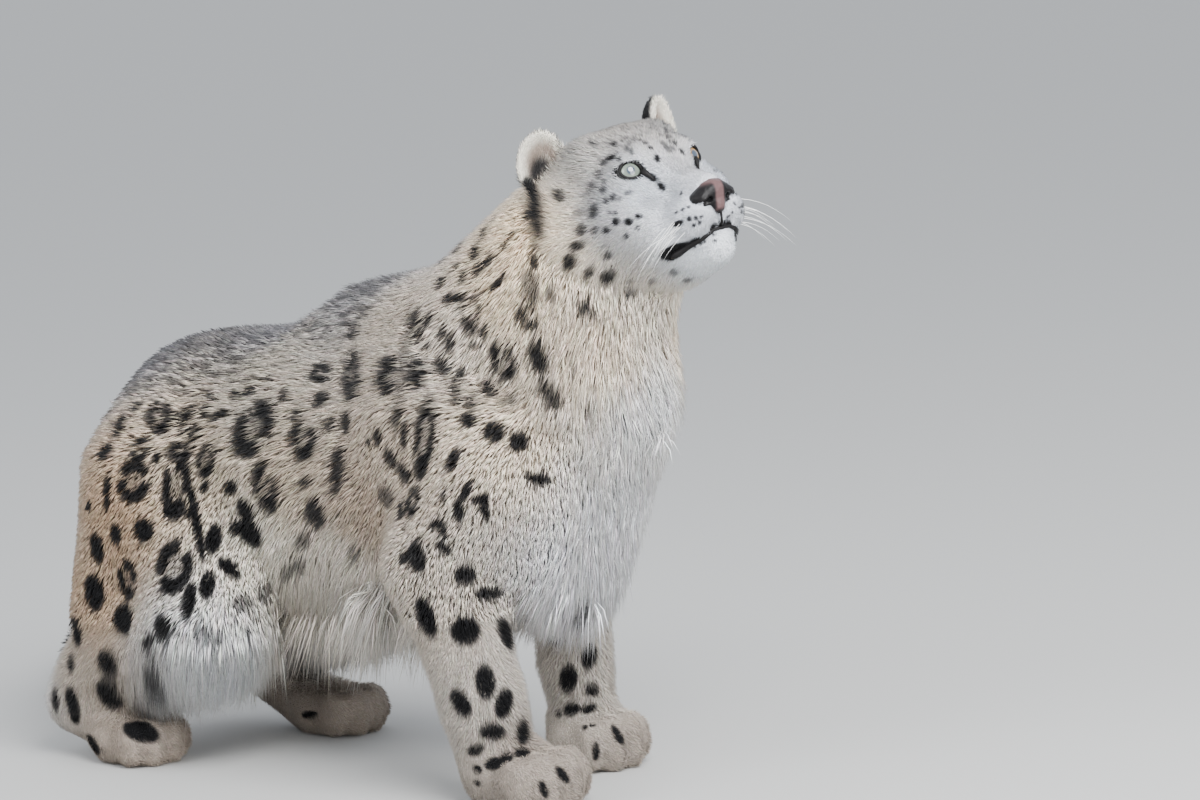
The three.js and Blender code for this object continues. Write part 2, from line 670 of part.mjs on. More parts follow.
// The same surface moved out a little, for cutting a clear space beside it.
function swollen({ points, faces }, by) {
  const out = points.map(() => [0, 0, 0]);
  for (const f of faces) {
    const [a, b, c] = f.map((m) => points[m]);
    const u = [b[0] - a[0], b[1] - a[1], b[2] - a[2]];
    const w = [c[0] - a[0], c[1] - a[1], c[2] - a[2]];
    const n = [u[1] * w[2] - u[2] * w[1], u[2] * w[0] - u[0] * w[2], u[0] * w[1] - u[1] * w[0]];
    for (const m of f) for (let i = 0; i < 3; i += 1) out[m][i] += n[i];
  }
  const moved = points.map((p, i) => {
    const l = Math.hypot(...out[i]) || 1;
    return p.map((v, j) => v + out[i][j] / l * by);
  });
  return solid({ points: moved, faces });
}

const legBoxes = LEGS.map(([name, lo, hi]) => block(lo.map((v) => v - G), hi.map((v) => v + G)));
function lessLegs(m) {
  let out = m;
  for (const b of legBoxes) out = out.subtract(b);
  return out;
}
const headSide = beyond(shift(NECK_TOP, NECK_TOP_N, -G), NECK_TOP_N);
const neckSide = beyond(shift(NECK_LOW, NECK_LOW_N, -G), NECK_LOW_N);

// Trunk.
const front = solid(raw(flesh, [0, -200, 120], [520, 200, 660], 12, 1000));
let chest = lessLegs(front.intersect(beyond([CHEST_X + G, 0, 350], [1, 0, 0])).subtract(neckSide));
// The bib: long locks that hang from the front and the underside of the chest, between the forelegs.
for (const [x, z] of [[420, 330], [380, 275], [318, 240], [250, 235]]) {
  for (const y of [-15, 15]) {
    const root = rootUnder([260, y * 0.6, 330], [x + 40, y, z - 60], 14);
    const back = x > 300 ? -0.28 : -0.4;
    chest = chest.add(lock(root, [back, 0, -1], [1, 0, 0.2], 62 + 8 * draw(), 26, 13, 6));
  }
}
for (const side of [-1, 1]) {
  for (const x of [64, 82]) {
    const root = rootUnder([x, side * 70, 330], [x, side * 70, 120], 12);
    const long = root[2] - fringeTip(x) - 5 * draw();
    chest = chest.add(lock(root, [-0.04, 0, -1], [0, side, 0.15], long, 30, 13, 0));
  }
}
addNode('chest', chest, COAT_PALE);
const middle = solid(raw(flesh, [-230, -200, 100], [90, 200, 620], 13, 800));
let belly = lessLegs(middle.intersect(block([RUMP_X + G, -300, -10], [CHEST_X - G, 300, 700])).subtract(neckSide));
// Long locks down each flank: [distance from the middle, first place along the body, lift of the tips].
// The thighs lie over the rear of the flanks, so only the row near the middle runs on between them.
for (const side of [-1, 1]) {
  for (const [y, first, lift] of [[84, -8, -4], [46, -8, 10], [17, -144, 0]]) {
    for (let x = first; x <= 16; x += 23) {
      const root = rootUnder([x, side * y, 330], [x, side * y, 120], 12);
      const tip = fringeTip(x) + lift + 7 * draw();
      const long = root[2] - tip;
      belly = belly.add(lock(root, [-0.03, 0, -1], [0, side, 0.15], long, 31 + 2 * draw(), 12, 0));
    }
  }
}
addNode('belly', belly, COAT_GREY);
const back = raw(flesh, [-520, -200, 100], [-130, 220, 560], 12, 900);
let rump = lessLegs(solid(back).intersect(beyond([RUMP_X - G, 0, 350], [-1, 0, 0])));
for (const side of [-1, 1]) {
  for (const y of [19]) {
    for (const x of [-250, -226, -202]) {
      const root = rootUnder([x, side * y, 330], [x, side * y, 120], 12);
      const long = root[2] - fringeTip(x) - 8 * draw();
      rump = rump.add(lock(root, [-0.05, 0, -1], [0, side, 0.15], long, 30, 12, 0));
    }
  }
}
addNode('rump', rump, COAT_GREY);
const neckRaw = solid(raw(flesh, [60, -200, 330], [560, 200, 760], 11, 1000));
const neck = neckRaw.intersect(beyond(shift(NECK_LOW, NECK_LOW_N, G), NECK_LOW_N)).subtract(headSide);
addNode('neck', lessLegs(neck), COAT_PALE);

// Head, with its eyes, nose and ears.
const headMesh = raw(flesh, [330, -190, 500], [640, 170, 790], 3.8, 2200);
let skull = solid(headMesh).intersect(beyond(shift(NECK_TOP, NECK_TOP_N, G), NECK_TOP_N));
const noseMesh = raw(nose, [535, -70, 600], [630, 40, 700], 2, 420);
skull = skull.subtract(swollen(noseMesh, CUT_GAP));
for (const [side, name] of [[-1, 'eye_right'], [1, 'eye_left']]) {
  const at = V(...eyeAt(side));
  const place = headPlace.clone().multiply(new THREE.Matrix4().makeTranslation(at.x, at.y, at.z));
  skull = skull.subtract(fromGeometry(new THREE.SphereGeometry(EYE_R + CUT_GAP, 18, 10), place));
  const out = V(facing.x, facing.y * side, facing.z);
  const wide = V(0.40, -0.90 * side, -0.17).normalize();
  const high = new THREE.Vector3().crossVectors(out, wide).normalize();
  wide.crossVectors(high, out).normalize();
  const turn = new THREE.Matrix4().makeBasis(wide, high, out);
  const opening = place.clone().multiply(turn).multiply(new THREE.Matrix4().makeTranslation(0, 0, EYE_R + 1))
    .multiply(new THREE.Matrix4().makeScale(16.5, 10.2, 14));
  skull = skull.subtract(fromGeometry(new THREE.SphereGeometry(1, 20, 12), opening));
  addNode(name, fromGeometry(new THREE.SphereGeometry(EYE_R, 18, 10), place), EYE_GREEN, 0.15);
}
// The mouth: the lower lip is a slim roll, and the line above it is cut in. Points are set on the skin.
function tube(points, r, steps) {
  const ring = new THREE.Shape().absarc(0, 0, r, 0, Math.PI * 2);
  const path = new THREE.CatmullRomCurve3(points.map((p) => V(...p)));
  return fromGeometry(new THREE.ExtrudeGeometry(ring,
    { steps, curveSegments: 3, bevelEnabled: false, extrudePath: path }));
}
const mouthAlong = (drop, deep) => MOUTH.map(([x, y, z]) => rootUnder(headPoint(10, y * 0.4, z - drop),
  headPoint(x + 30, y * 1.6, z - drop), deep));
skull = skull.add(tube(mouthAlong(6, 2.2), LIP_R, 12));
skull = skull.subtract(tube(mouthAlong(0, 0.5), MOUTH_R, 12));
skull = skull.subtract(tube([headPoint(84, 0, -59), headPoint(82, 0, -71)], 1.8, 2));
addNode('head', skull, COAT_PALE);
addNode('nose', solid(noseMesh), NOSE_PINK, 0.5);
for (const [side, name, lift] of [[-1, 'ear_right', 0], [1, 'ear_left', 6]]) {
  const c = headPoint(-99, side * 81, 32 + lift);
  const mesh = raw(earField(side, lift), c.map((v) => v - 48), c.map((v) => v + 48), 3, 400);
  addNode(name, solid(mesh).subtract(swollen(headMesh, CUT_GAP)), COAT_PALE);
}

// Legs.
const legMesh = {
  fore_right: raw(flesh, [80, -220, -24], [440, 20, 480], 8, 1050),
  fore_left: raw(flesh, [80, -20, -24], [440, 220, 480], 8, 1000),
  hind_right: raw(flesh, [-520, -220, -24], [-30, 20, 400], 8, 1150),
  hind_left: raw(flesh, [-500, -20, -24], [-20, 220, 400], 8, 1150),
};
// Pale fluff that hangs from the front of the knee, over the shin.
function kneeFringe(leg, side) {
  let m = leg;
  const front = side < 0 ? -150 : -112;
  for (const [back, high] of [[-8, 158], [14, 150], [36, 140], [58, 131], [80, 122]]) {
    const root = [front - back + 3 * draw(), side * (128 - back * 0.1), high];
    m = m.add(lock(root, [-0.30, side * 0.10, -1], [0.3, side, 0], 74 + 6 * draw(), 32, 15, 0));
  }
  return m;
}
for (const [name, lo, hi] of LEGS) {
  const key = (name.includes('fore') || name.includes('shoulder') ? 'fore_' : 'hind_')
    + (name.endsWith('right') ? 'right' : 'left');
  let m = solid(legMesh[key]).intersect(block(lo.map((v) => v + G), hi.map((v) => v - G)));
  if (name.startsWith('leg_hind')) m = kneeFringe(m, name.endsWith('right') ? -1 : 1);
  addNode(name, m, COAT_TAN);
}

// Tail, in three lengths.
const aboveFloor = block([-1500, -900, 0], [1500, 900, 1500]);
let tailBody = solid(raw(floorCut(tail), [-980, -80, -24], [-290, 620, 480], 10, 640)).intersect(aboveFloor);
for (const m of [back, legMesh.hind_right, legMesh.hind_left]) tailBody = tailBody.subtract(swollen(m, CUT_GAP));
const tailCut = (i) => {
  const n = [0, 1, 2].map((j) => TAIL[i + 1][j] - TAIL[i - 1][j]);
  return [TAIL[i].slice(0, 3), n];
};
const [cutA, dirA] = tailCut(4);
const [cutB, dirB] = tailCut(7);
const past = (at, n, d) => beyond(shift(at, n, d), n);
addNode('tail_base', tailBody.subtract(past(cutA, dirA, -G)), COAT_GREY);
addNode('tail_middle', tailBody.intersect(past(cutA, dirA, G)).subtract(past(cutB, dirB, -G)), COAT_GREY);
addNode('tail_tip', tailBody.intersect(past(cutB, dirB, G)), COAT_GREY);

// The origin goes on the floor under the middle of the box around the whole animal.
const box = new THREE.Box3();
for (const [, m] of made) {
  const v = m.getMesh().vertProperties;
  for (let i = 0; i < v.length; i += 3) box.expandByPoint(V(v[i], v[i + 1], v[i + 2]));
}
for (const [name, m, color, roughness] of made) {
  const mesh = m.getMesh();
  const g = new THREE.BufferGeometry();
  g.setAttribute('position', new THREE.BufferAttribute(new Float32Array(mesh.vertProperties), 3));
  g.setIndex(new THREE.BufferAttribute(new Uint32Array(mesh.triVerts), 1));
  const middle2 = [box.min.x + box.max.x, box.min.y + box.max.y].map((q) => Math.round(q / 2 / GRID) * GRID);
  g.translate(-middle2[0], -middle2[1], -box.min.z);
  const part = new THREE.Mesh(g, new THREE.MeshStandardMaterial({ color, roughness }));
  part.name = name;
  group.add(part);
}
export default group;
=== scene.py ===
import math

import bmesh
import bpy
import numpy as np
from mathutils import Matrix, Vector, noise
from mathutils.bvhtree import BVHTree
from mathutils.kdtree import KDTree


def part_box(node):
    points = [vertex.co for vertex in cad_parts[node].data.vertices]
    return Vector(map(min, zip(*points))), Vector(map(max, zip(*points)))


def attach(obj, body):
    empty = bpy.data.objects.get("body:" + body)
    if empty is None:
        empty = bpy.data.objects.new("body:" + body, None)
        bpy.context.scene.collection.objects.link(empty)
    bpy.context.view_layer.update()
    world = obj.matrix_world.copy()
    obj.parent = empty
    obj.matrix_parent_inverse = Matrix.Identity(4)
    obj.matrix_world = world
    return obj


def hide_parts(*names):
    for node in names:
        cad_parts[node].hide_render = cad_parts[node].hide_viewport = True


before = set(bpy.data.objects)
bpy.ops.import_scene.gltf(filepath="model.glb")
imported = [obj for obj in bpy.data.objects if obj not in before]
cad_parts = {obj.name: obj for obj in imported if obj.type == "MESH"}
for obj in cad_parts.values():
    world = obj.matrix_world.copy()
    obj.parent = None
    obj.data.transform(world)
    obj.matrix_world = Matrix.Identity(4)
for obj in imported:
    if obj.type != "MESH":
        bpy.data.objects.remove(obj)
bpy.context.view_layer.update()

# The viewpoint.
# The animal is seen from its right front quarter, a little above its back, through a long lens.
# The near fore paw's place in the picture fixes the camera, and the eye's place fixes the whole body.
PHOTO_WIDTH, PHOTO_HEIGHT = 1200, 800
FOCAL_PIXELS = 5000
CAMERA_AWAY = 5500
VIEW_ROUND, VIEW_ABOVE, VIEW_ROLL = (math.radians(angle) for angle in (44, 8, -4.5))
PAW_AT = np.array((300, -85, 0))
PAW_SEEN = (528, 803)
view_back = np.array((math.sin(VIEW_ROUND) * math.cos(VIEW_ABOVE),
                      -math.cos(VIEW_ROUND) * math.cos(VIEW_ABOVE), math.sin(VIEW_ABOVE)))
view_level = np.array((math.cos(VIEW_ROUND), math.sin(VIEW_ROUND), 0))
view_upright = np.cross(view_back, view_level)
view_right = view_level * math.cos(VIEW_ROLL) + view_upright * math.sin(VIEW_ROLL)
view_up = view_upright * math.cos(VIEW_ROLL) - view_level * math.sin(VIEW_ROLL)


def sight_line(across, below):
    """The way from the camera through a point of the photograph's frame, in pixels."""
    sideways = view_right * (across - PHOTO_WIDTH / 2)
    return sideways + view_up * (PHOTO_HEIGHT / 2 - below) - view_back * FOCAL_PIXELS


view_from = PAW_AT - sight_line(*PAW_SEEN) * CAMERA_AWAY / FOCAL_PIXELS
# Places are kept to a tenth of a millimetre, directions to four decimals.
CAMERA_AT = Vector(np.round(view_from, 1))
CAMERA_RIGHT, CAMERA_UP, CAMERA_BACK = (Vector(np.round(way, 4)) for way in (view_right, view_up, view_back))
HEAD_AT = Vector((499, -5, 696.5))
HEAD_YAW, HEAD_PITCH, HEAD_ROLL = -11.8, 10.3, 5
EYE_SEEN = (3, 43, 3)
EYE_FACING = Vector((0.90, 0.40, 0.15)).normalized()
EYE_R = 16.5
head_turn = (Matrix.Rotation(math.radians(HEAD_YAW), 3, "Z")
             @ Matrix.Rotation(math.radians(-HEAD_PITCH), 3, "Y")
             @ Matrix.Rotation(math.radians(HEAD_ROLL), 3, "X"))


def eye_middle(side):
    """Middle of an eyeball in the head's frame; side is 1 for the left eye."""
    return Vector((EYE_SEEN[0] - EYE_FACING.x * 15, side * (EYE_SEEN[1] - EYE_FACING.y * 15),
                   EYE_SEEN[2] - EYE_FACING.z * 15))


eye_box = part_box("eye_right")
place = (eye_box[0] + eye_box[1]) / 2 - (head_turn @ eye_middle(-1) + HEAD_AT) / 1000


def in_model(point):
    """A point of the working frame, in millimetres, as a place in the model."""
    return Vector(point) / 1000 + place


def of_head(point):
    """A point of the head's own frame, in millimetres, as a place in the model."""
    return in_model(head_turn @ point + HEAD_AT)


def to_head(point):
    """A place in the model as a point of the head's own frame, in millimetres."""
    return head_turn.transposed() @ ((point - place) * 1000 - HEAD_AT)


camera = bpy.data.objects.new("camera", bpy.data.cameras.new("camera"))
bpy.context.scene.collection.objects.link(camera)
camera.matrix_world = Matrix.Translation(in_model(CAMERA_AT)) @ Matrix(
    (CAMERA_RIGHT, CAMERA_UP, CAMERA_BACK)).transposed().to_4x4()
camera.data.sensor_width = 36
camera.data.lens = 36 * FOCAL_PIXELS / PHOTO_WIDTH
camera.data.clip_end = 100
bpy.context.scene.camera = camera

# The skin.
# One closed surface over trunk, neck, head, legs, ears and tail, drawn in by the depth of the coat.
# It is made from copies of the body's parts, run together and smoothed.
FLESH = ("chest", "belly", "rump", "neck", "head", "ear_right", "ear_left",
         "shoulder_right", "leg_fore_right", "paw_fore_right", "shoulder_left", "leg_fore_left",
         "paw_fore_left", "thigh_right", "leg_hind_right", "paw_hind_right", "thigh_left",
         "leg_hind_left", "paw_hind_left", "tail_base", "tail_middle", "tail_tip")
BARE = ("eye_right", "eye_left", "nose")
PARTS = FLESH + BARE
TRUNK = ("chest", "belly", "rump", "neck")
EARS = ("ear_right", "ear_left")
TAIL_PARTS = ("tail_base", "tail_middle", "tail_tip")
OVERRUN = 0.0005
SKIN_CELL = 0.0031
LOCK_THICKNESS = 0.020
LOCKED = ("belly", "chest", "rump", "leg_hind_right", "leg_hind_left")


def among(labels, names):
    """Which of the labels stand for one of the named parts."""
    return np.isin(labels, [PARTS.index(name) for name in names])


def gathered(names, by):
    """Copies of the named parts, each grown by a little, as corners, faces and each face's part."""
    corners, faces, owners = [], [], []
    for number, name in enumerate(names):
        bm = bmesh.new()
        bm.from_mesh(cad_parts[name].data)
        bmesh.ops.remove_doubles(bm, verts=bm.verts, dist=1e-6)
        bm.normal_update()
        start = len(corners)
        corners += [v.co + v.normal * by for v in bm.verts]
        faces += [[start + v.index for v in f.verts] for f in bm.faces]
        owners += [number] * len(bm.faces)
        bm.free()
    return corners, faces, owners


def made(name, corners, faces):
    mesh = bpy.data.meshes.new(name)
    mesh.from_pydata([tuple(c) for c in corners], [], faces)
    mesh.update()
    piece = bpy.data.objects.new(name, mesh)
    bpy.context.scene.collection.objects.link(piece)
    return piece


def picked(piece):
    bpy.ops.object.select_all(action="DESELECT")
    bpy.context.view_layer.objects.active = piece
    piece.select_set(True)


def rounded(piece):
    """Shades a piece as one smooth surface."""
    piece.data.polygons.foreach_set("use_smooth", np.ones(len(piece.data.polygons), bool))


def remeshed(piece, cell):
    picked(piece)
    piece.data.remesh_voxel_size = cell
    piece.data.use_remesh_fix_poles = False
    bpy.ops.object.voxel_remesh()


def read(piece):
    """Corners, normals and edges of a piece, as arrays."""
    mesh = piece.data
    co = np.empty(len(mesh.vertices) * 3, np.float32)
    mesh.vertices.foreach_get("co", co)
    normal = np.empty(len(mesh.vertices) * 3, np.float32)
    mesh.vertex_normals.foreach_get("vector", normal)
    edges = np.empty(len(mesh.edges) * 2, np.int32)
    mesh.edges.foreach_get("vertices", edges)
    return co.reshape(-1, 3).astype(float), normal.reshape(-1, 3).astype(float), edges.reshape(-1, 2)


def write(piece, co):
    piece.data.vertices.foreach_set("co", co.astype(np.float32).ravel())
    piece.data.update()


def averaged(values, edges):
    """Each corner's value as the mean of its neighbours'."""
    ends = np.concatenate((edges[:, 0], edges[:, 1]))
    others = np.concatenate((edges[:, 1], edges[:, 0]))
    count = np.maximum(np.bincount(ends, minlength=len(values)), 1)
    if values.ndim == 1:
        return np.bincount(ends, weights=values[others], minlength=len(values)) / count
    columns = [np.bincount(ends, weights=values[others, k], minlength=len(values)) / count
               for k in range(values.shape[1])]
    return np.stack(columns, 1)


body_corners, body_faces, body_owners = gathered(PARTS, OVERRUN)
body_tree = BVHTree.FromPolygons(body_corners, body_faces)
skin = made("skin", body_corners, body_faces)
remeshed(skin, SKIN_CELL)


def part_of(points):
    """The number of the body part whose surface is nearest to each point."""
    return np.array([body_owners[body_tree.find_nearest(Vector(p))[2]] for p in points])


# The solid locks of the fringe are thin all over, so they come off the skin here.
skin_tree = BVHTree.FromObject(skin, bpy.context.evaluated_depsgraph_get())
co, normal, edges = read(skin)
label = part_of(co)
can_be_lock = among(label, LOCKED)
thin = np.zeros(len(co), bool)
for i in np.flatnonzero(can_be_lock):
    hit = skin_tree.ray_cast(Vector(co[i] - normal[i] * 0.0004), Vector(-normal[i]), 0.2)
    thin[i] = hit[0] is not None and hit[3] < LOCK_THICKNESS
for _ in range(3):
    grown = thin.copy()
    grown[edges[thin[edges[:, 0]], 1]] = True
    grown[edges[thin[edges[:, 1]], 0]] = True
    thin = grown & can_be_lock
bm = bmesh.new()
bm.from_mesh(skin.data)
bm.verts.ensure_lookup_table()
bmesh.ops.delete(bm, geom=[bm.verts[i] for i in np.flatnonzero(thin)], context="VERTS")
loose = set(bm.verts)
islands = []
while loose:
    island, front = set(), [next(iter(loose))]
    loose.discard(front[0])
    while front:
        v = front.pop()
        island.add(v)
        for e in v.link_edges:
            other = e.other_vert(v)
            if other in loose:
                loose.discard(other)
                front.append(other)
    islands.append(island)
islands.sort(key=len)
bmesh.ops.delete(bm, geom=[v for island in islands[:-1] for v in island], context="VERTS")
bmesh.ops.holes_fill(bm, edges=[e for e in bm.edges if e.is_boundary], sides=0)
bmesh.ops.triangulate(bm, faces=[f for f in bm.faces if len(f.verts) > 4])
bm.to_mesh(skin.data)
bm.free()
remeshed(skin, SKIN_CELL)

# How the coat grows on each part, in millimetres: length of hair, depth of the coat, room between tufts.
COAT = {
    "chest": (32, 15, 3.5), "belly": (30, 15, 3.8), "rump": (24, 13, 3.8), "neck": (28, 14, 3.5),
    "head": (8, 3, 1.7), "ear_right": (7, 1.2, 1.8), "ear_left": (7, 1.2, 1.8),
    "shoulder_right": (20, 11, 3.4), "leg_fore_right": (12, 6.5, 2.5), "paw_fore_right": (7, 3, 2.1),
    "shoulder_left": (20, 11, 3.4), "leg_fore_left": (13, 6.5, 2.5), "paw_fore_left": (7, 3, 2.1),
    "thigh_right": (19, 10, 3.4), "leg_hind_right": (13, 6.5, 2.7), "paw_hind_right": (7, 3, 2.1),
    "thigh_left": (19, 10, 3.4), "leg_hind_left": (13, 6.5, 2.9), "paw_hind_left": (7, 3, 2.1),
    "tail_base": (32, 14, 4.8), "tail_middle": (36, 15, 5.0), "tail_tip": (36, 15, 5.0),
    "eye_right": (3, 1.8, 9), "eye_left": (3, 1.8, 9), "nose": (3, 1.6, 9),
}
SMOOTH_ROUNDS = 16
SMOOTH_IN, SMOOTH_OUT = 0.5, 0.52
DEPTH_ROUNDS = 24
FRINGE_HEIGHT = (-300, -215)
FACE_ROUNDS = 4
head_axes = np.array(head_turn)
place_row = np.array(place)


def millimetres(points):
    return (points - place_row) * 1000


def head_frame(points):
    """Points of the model in the head's own frame, in millimetres."""
    return (millimetres(points) - np.array(HEAD_AT)) @ head_axes


def fade(value, low, high):
    """0 below low, 1 above high, smooth between."""
    t = np.clip((value - low) / (high - low), 0, 1)
    return t * t * (3 - 2 * t)


co, normal, edges = read(skin)
label = part_of(co)
face_part = among(label, ("head", *EARS, *BARE))
still = np.where(face_part, 0.0, 1.0)
for i in range(SMOOTH_ROUNDS):
    share = np.ones(len(co)) if i < FACE_ROUNDS else still
    co = co + SMOOTH_IN * share[:, None] * (averaged(co, edges) - co)
    co = co - SMOOTH_OUT * share[:, None] * (averaged(co, edges) - co)
write(skin, co)

length = np.array([COAT[PARTS[i]][0] for i in label], float)
depth = np.array([COAT[PARTS[i]][1] for i in label], float)
space = np.array([COAT[PARTS[i]][2] for i in label], float)
mm = millimetres(co)
hd = head_frame(co)
is_head = label == PARTS.index("head")
cheek = fade(-hd[:, 0], -14, 40) * fade(np.abs(hd[:, 1]), 34, 60)
chin = fade(-hd[:, 2], 78, 100) * fade(-hd[:, 0], -40, 0)
cheek = np.clip(cheek + chin, 0, 1)
muzzle = fade(hd[:, 0], 22, 45)
length = np.where(is_head, 6.5 + 9 * cheek - 2.6 * muzzle, length)
depth = np.where(is_head, 3 + 4.5 * cheek - 1.2 * muzzle, depth)
space = np.where(is_head, 1.5 + 0.6 * cheek - 0.1 * muzzle, space)
torso = among(label, TRUNK)
hang = fade(-mm[:, 2], *FRINGE_HEIGHT) * torso
under = fade(-normal[:, 2], -0.25, 0.35) * fade(-mm[:, 2], -230, -170) * fade(mm[:, 2], 50, 80)
hind = among(label, ("leg_hind_right", "leg_hind_left", "thigh_right", "thigh_left"))
knee = under * fade(mm[:, 0], -320, -250) * hind
bib = fade(mm[:, 0], 330, 420) * torso * fade(-mm[:, 2], -600, -480)
length += 38 * hang * (1 - 0.5 * fade(mm[:, 0], 120, 260)) + 20 * bib
space -= 1.1 * hang + 0.3 * bib
length += 30 * knee
depth += 4 * hang + 6 * bib
for _ in range(DEPTH_ROUNDS):
    depth = averaged(depth, edges)
    length = averaged(length, edges)
    knee = averaged(knee, edges)
DRAW_IN_STEPS = 4
for _ in range(DRAW_IN_STEPS):
    co = co - normal * (depth / 1000 / DRAW_IN_STEPS)[:, None]
    co = co + 0.4 * (still * 0.7 + 0.15)[:, None] * (averaged(co, edges) - co)
    write(skin, co)
    co, normal, edges = read(skin)

# The lie of the coat: backwards along the trunk, down the legs, out along toes, ears and tail.
TAIL = ((-320, 0, 394), (-384, 12, 358), (-438, 38, 290), (-492, 64, 204), (-548, 88, 122), (-610, 112, 64),
        (-668, 140, 46), (-736, 206, 46), (-796, 292, 46), (-846, 388, 45), (-884, 470, 42), (-906, 530, 34))
tail_line = np.array(TAIL, float)
tail_steps = np.diff(tail_line, axis=0)
tail_reach = np.concatenate(([0], np.cumsum(np.linalg.norm(tail_steps, axis=1))))


def along_tail(points):
    """For points in millimetres: distance along the tail, its direction there, nearest middle point."""
    best = np.full(len(points), 1e9)
    reach = np.zeros(len(points))
    heading = np.zeros((len(points), 3))
    middle = np.zeros((len(points), 3))
    for start, step, before in zip(tail_line[:-1], tail_steps, tail_reach):
        long = np.linalg.norm(step)
        t = np.clip((points - start) @ step / long ** 2, 0, 1)
        on = start + t[:, None] * step
        away = np.linalg.norm(points - on, axis=1)
        near = away < best
        best[near] = away[near]
        reach[near] = before + t[near] * long
        heading[near] = step / long
        middle[near] = on[near]
    return reach, heading, middle


EAR_AT = {"ear_right": (-99, -81, 32), "ear_left": (-99, 81, 38)}
EAR_UP = {"ear_right": (0.16, 0.10, 0.98), "ear_left": (0.16, -0.10, 0.98)}
EAR_OPEN = {"ear_right": (0.84, -0.53, 0.06), "ear_left": (0.84, 0.53, 0.06)}


def ear_frame(name, points):
    """Head-frame points as across, up and forwards in an ear's cup."""
    up = Vector(EAR_UP[name]).normalized()
    across = up.cross(Vector(EAR_OPEN[name]).normalized()).normalized()
    forwards = across.cross(up)
    axes = np.array((across, up, forwards)).T
    return (points - np.array(EAR_AT[name])) @ axes


mm = millimetres(co)
hd = head_frame(co)
side = np.sign(mm[:, 1] + 1e-9)
LIE_ROUNDS = 10
lie = np.zeros_like(co)
ones = np.ones(len(co))


def lies(names, vector):
    """Sets the way that the coat of the named parts points."""
    rows = among(label, names)
    lie[rows] = np.stack([np.broadcast_to(v, ones.shape) for v in vector], 1)[rows]


down = fade(-mm[:, 2], -480, -260)
lies(("chest", "belly", "rump"), (-ones + 0.35 * down, 0.10 * side, -0.15 - 0.85 * down))
lies(("neck",), (-0.75 * ones, 0 * ones, -0.45 - 0.6 * fade(-mm[:, 2], -640, -520)))
front = fade(mm[:, 0], 330, 400) * torso
lie = lie * (1 - front)[:, None] + front[:, None] * np.array((-0.30, 0, -1))
lies(("shoulder_right", "shoulder_left"), (-0.45 * ones, 0 * ones, -ones))
lies(("leg_fore_right", "leg_fore_left"), (-0.12 * ones, 0 * ones, -ones))
lies(("thigh_right", "thigh_left"), (-0.42 * ones, 0 * ones, -ones))
lies(("leg_hind_right", "leg_hind_left"), (-0.25 * ones, 0 * ones, -ones))
paws = ("paw_fore_right", "paw_fore_left", "paw_hind_right", "paw_hind_left")
lies(paws, (ones, 0 * ones, -0.45 * ones))
turned = np.stack((-ones, 0.30 * np.sign(hd[:, 1]) * fade(np.abs(hd[:, 1]), 0, 40),
                   0.15 - 0.75 * fade(-hd[:, 2], 5, 70)), 1) @ head_axes.T
head_rows = among(label, ("head", *BARE))
lie[head_rows] = turned[head_rows]
for name in EARS:
    rows = label == PARTS.index(name)
    lie[rows] = np.array(head_turn @ Vector(EAR_UP[name]))
tail_rows = among(label, TAIL_PARTS)
lie[tail_rows] = along_tail(mm[tail_rows])[1]
for _ in range(LIE_ROUNDS):
    lie = averaged(lie, edges)
lie -= (lie * normal).sum(1)[:, None] * normal
lie /= np.linalg.norm(lie, axis=1)[:, None] + 1e-9

# The markings.
# Spots and rosettes of black hair, each set by its place in the photograph's 1200 x 800 frame, as middle
# across, middle down, half length, half width and the length's slope in degrees; the far side mirrors them.
SPOTS_HIND = (
    (156, 459, 6, 3.5, 60), (208, 397, 6, 3, 60), (231, 395, 7, 4, 70), (246, 392, 8, 4, 15),
    (216, 416, 11, 4, 25), (202, 411, 8, 2.5, 80), (265, 377, 5, 5, 0), (204, 488, 6, 3.5, 60),
    (229, 489, 8, 6, 20), (170, 514, 8, 5, 0), (187, 516, 5, 4, 0), (180, 422, 14, 3, 88),
    (189, 413, 8, 4, 85), (191, 434, 10, 4, 80), (196, 523, 38, 4, 100), (213, 540, 14, 7, 80),
    (245, 513, 12, 8, 110), (250, 535, 14, 11, 120), (236, 530, 8, 6, 45), (142, 532, 11, 11, 0),
    (115, 535, 10, 6, 90), (96, 550, 15, 7, 95), (106, 495, 18, 3, 88), (87, 509, 5, 4, 60),
    (103, 452, 9, 6, 50), (118, 425, 13, 5, 75), (135, 406, 7, 3, 50), (167, 587, 10, 8, 0),
    (123, 620, 14, 12, 100), (93, 594, 17, 10, 95), (74, 632, 14, 7, 100), (188, 603, 18, 6, 80),
    (207, 586, 13, 7, 80), (229, 569, 13, 6, -40), (162, 630, 13, 9, 100), (150, 643, 10, 6, 30),
    (106, 666, 13, 11, 110), (110, 695, 15, 13, 110), (158, 681, 19, 13, 80), (205, 678, 12, 8, 130),
    (140, 731, 18, 9, -20), (72, 707, 18, 6, 100), (69, 664, 9, 3, 100), (91, 745, 11, 6, -45),
    (54, 702, 12, 3, 95), (63, 742, 5, 4, 0), (55, 754, 7, 4, -20), (273, 713, 7, 4, 20),
)
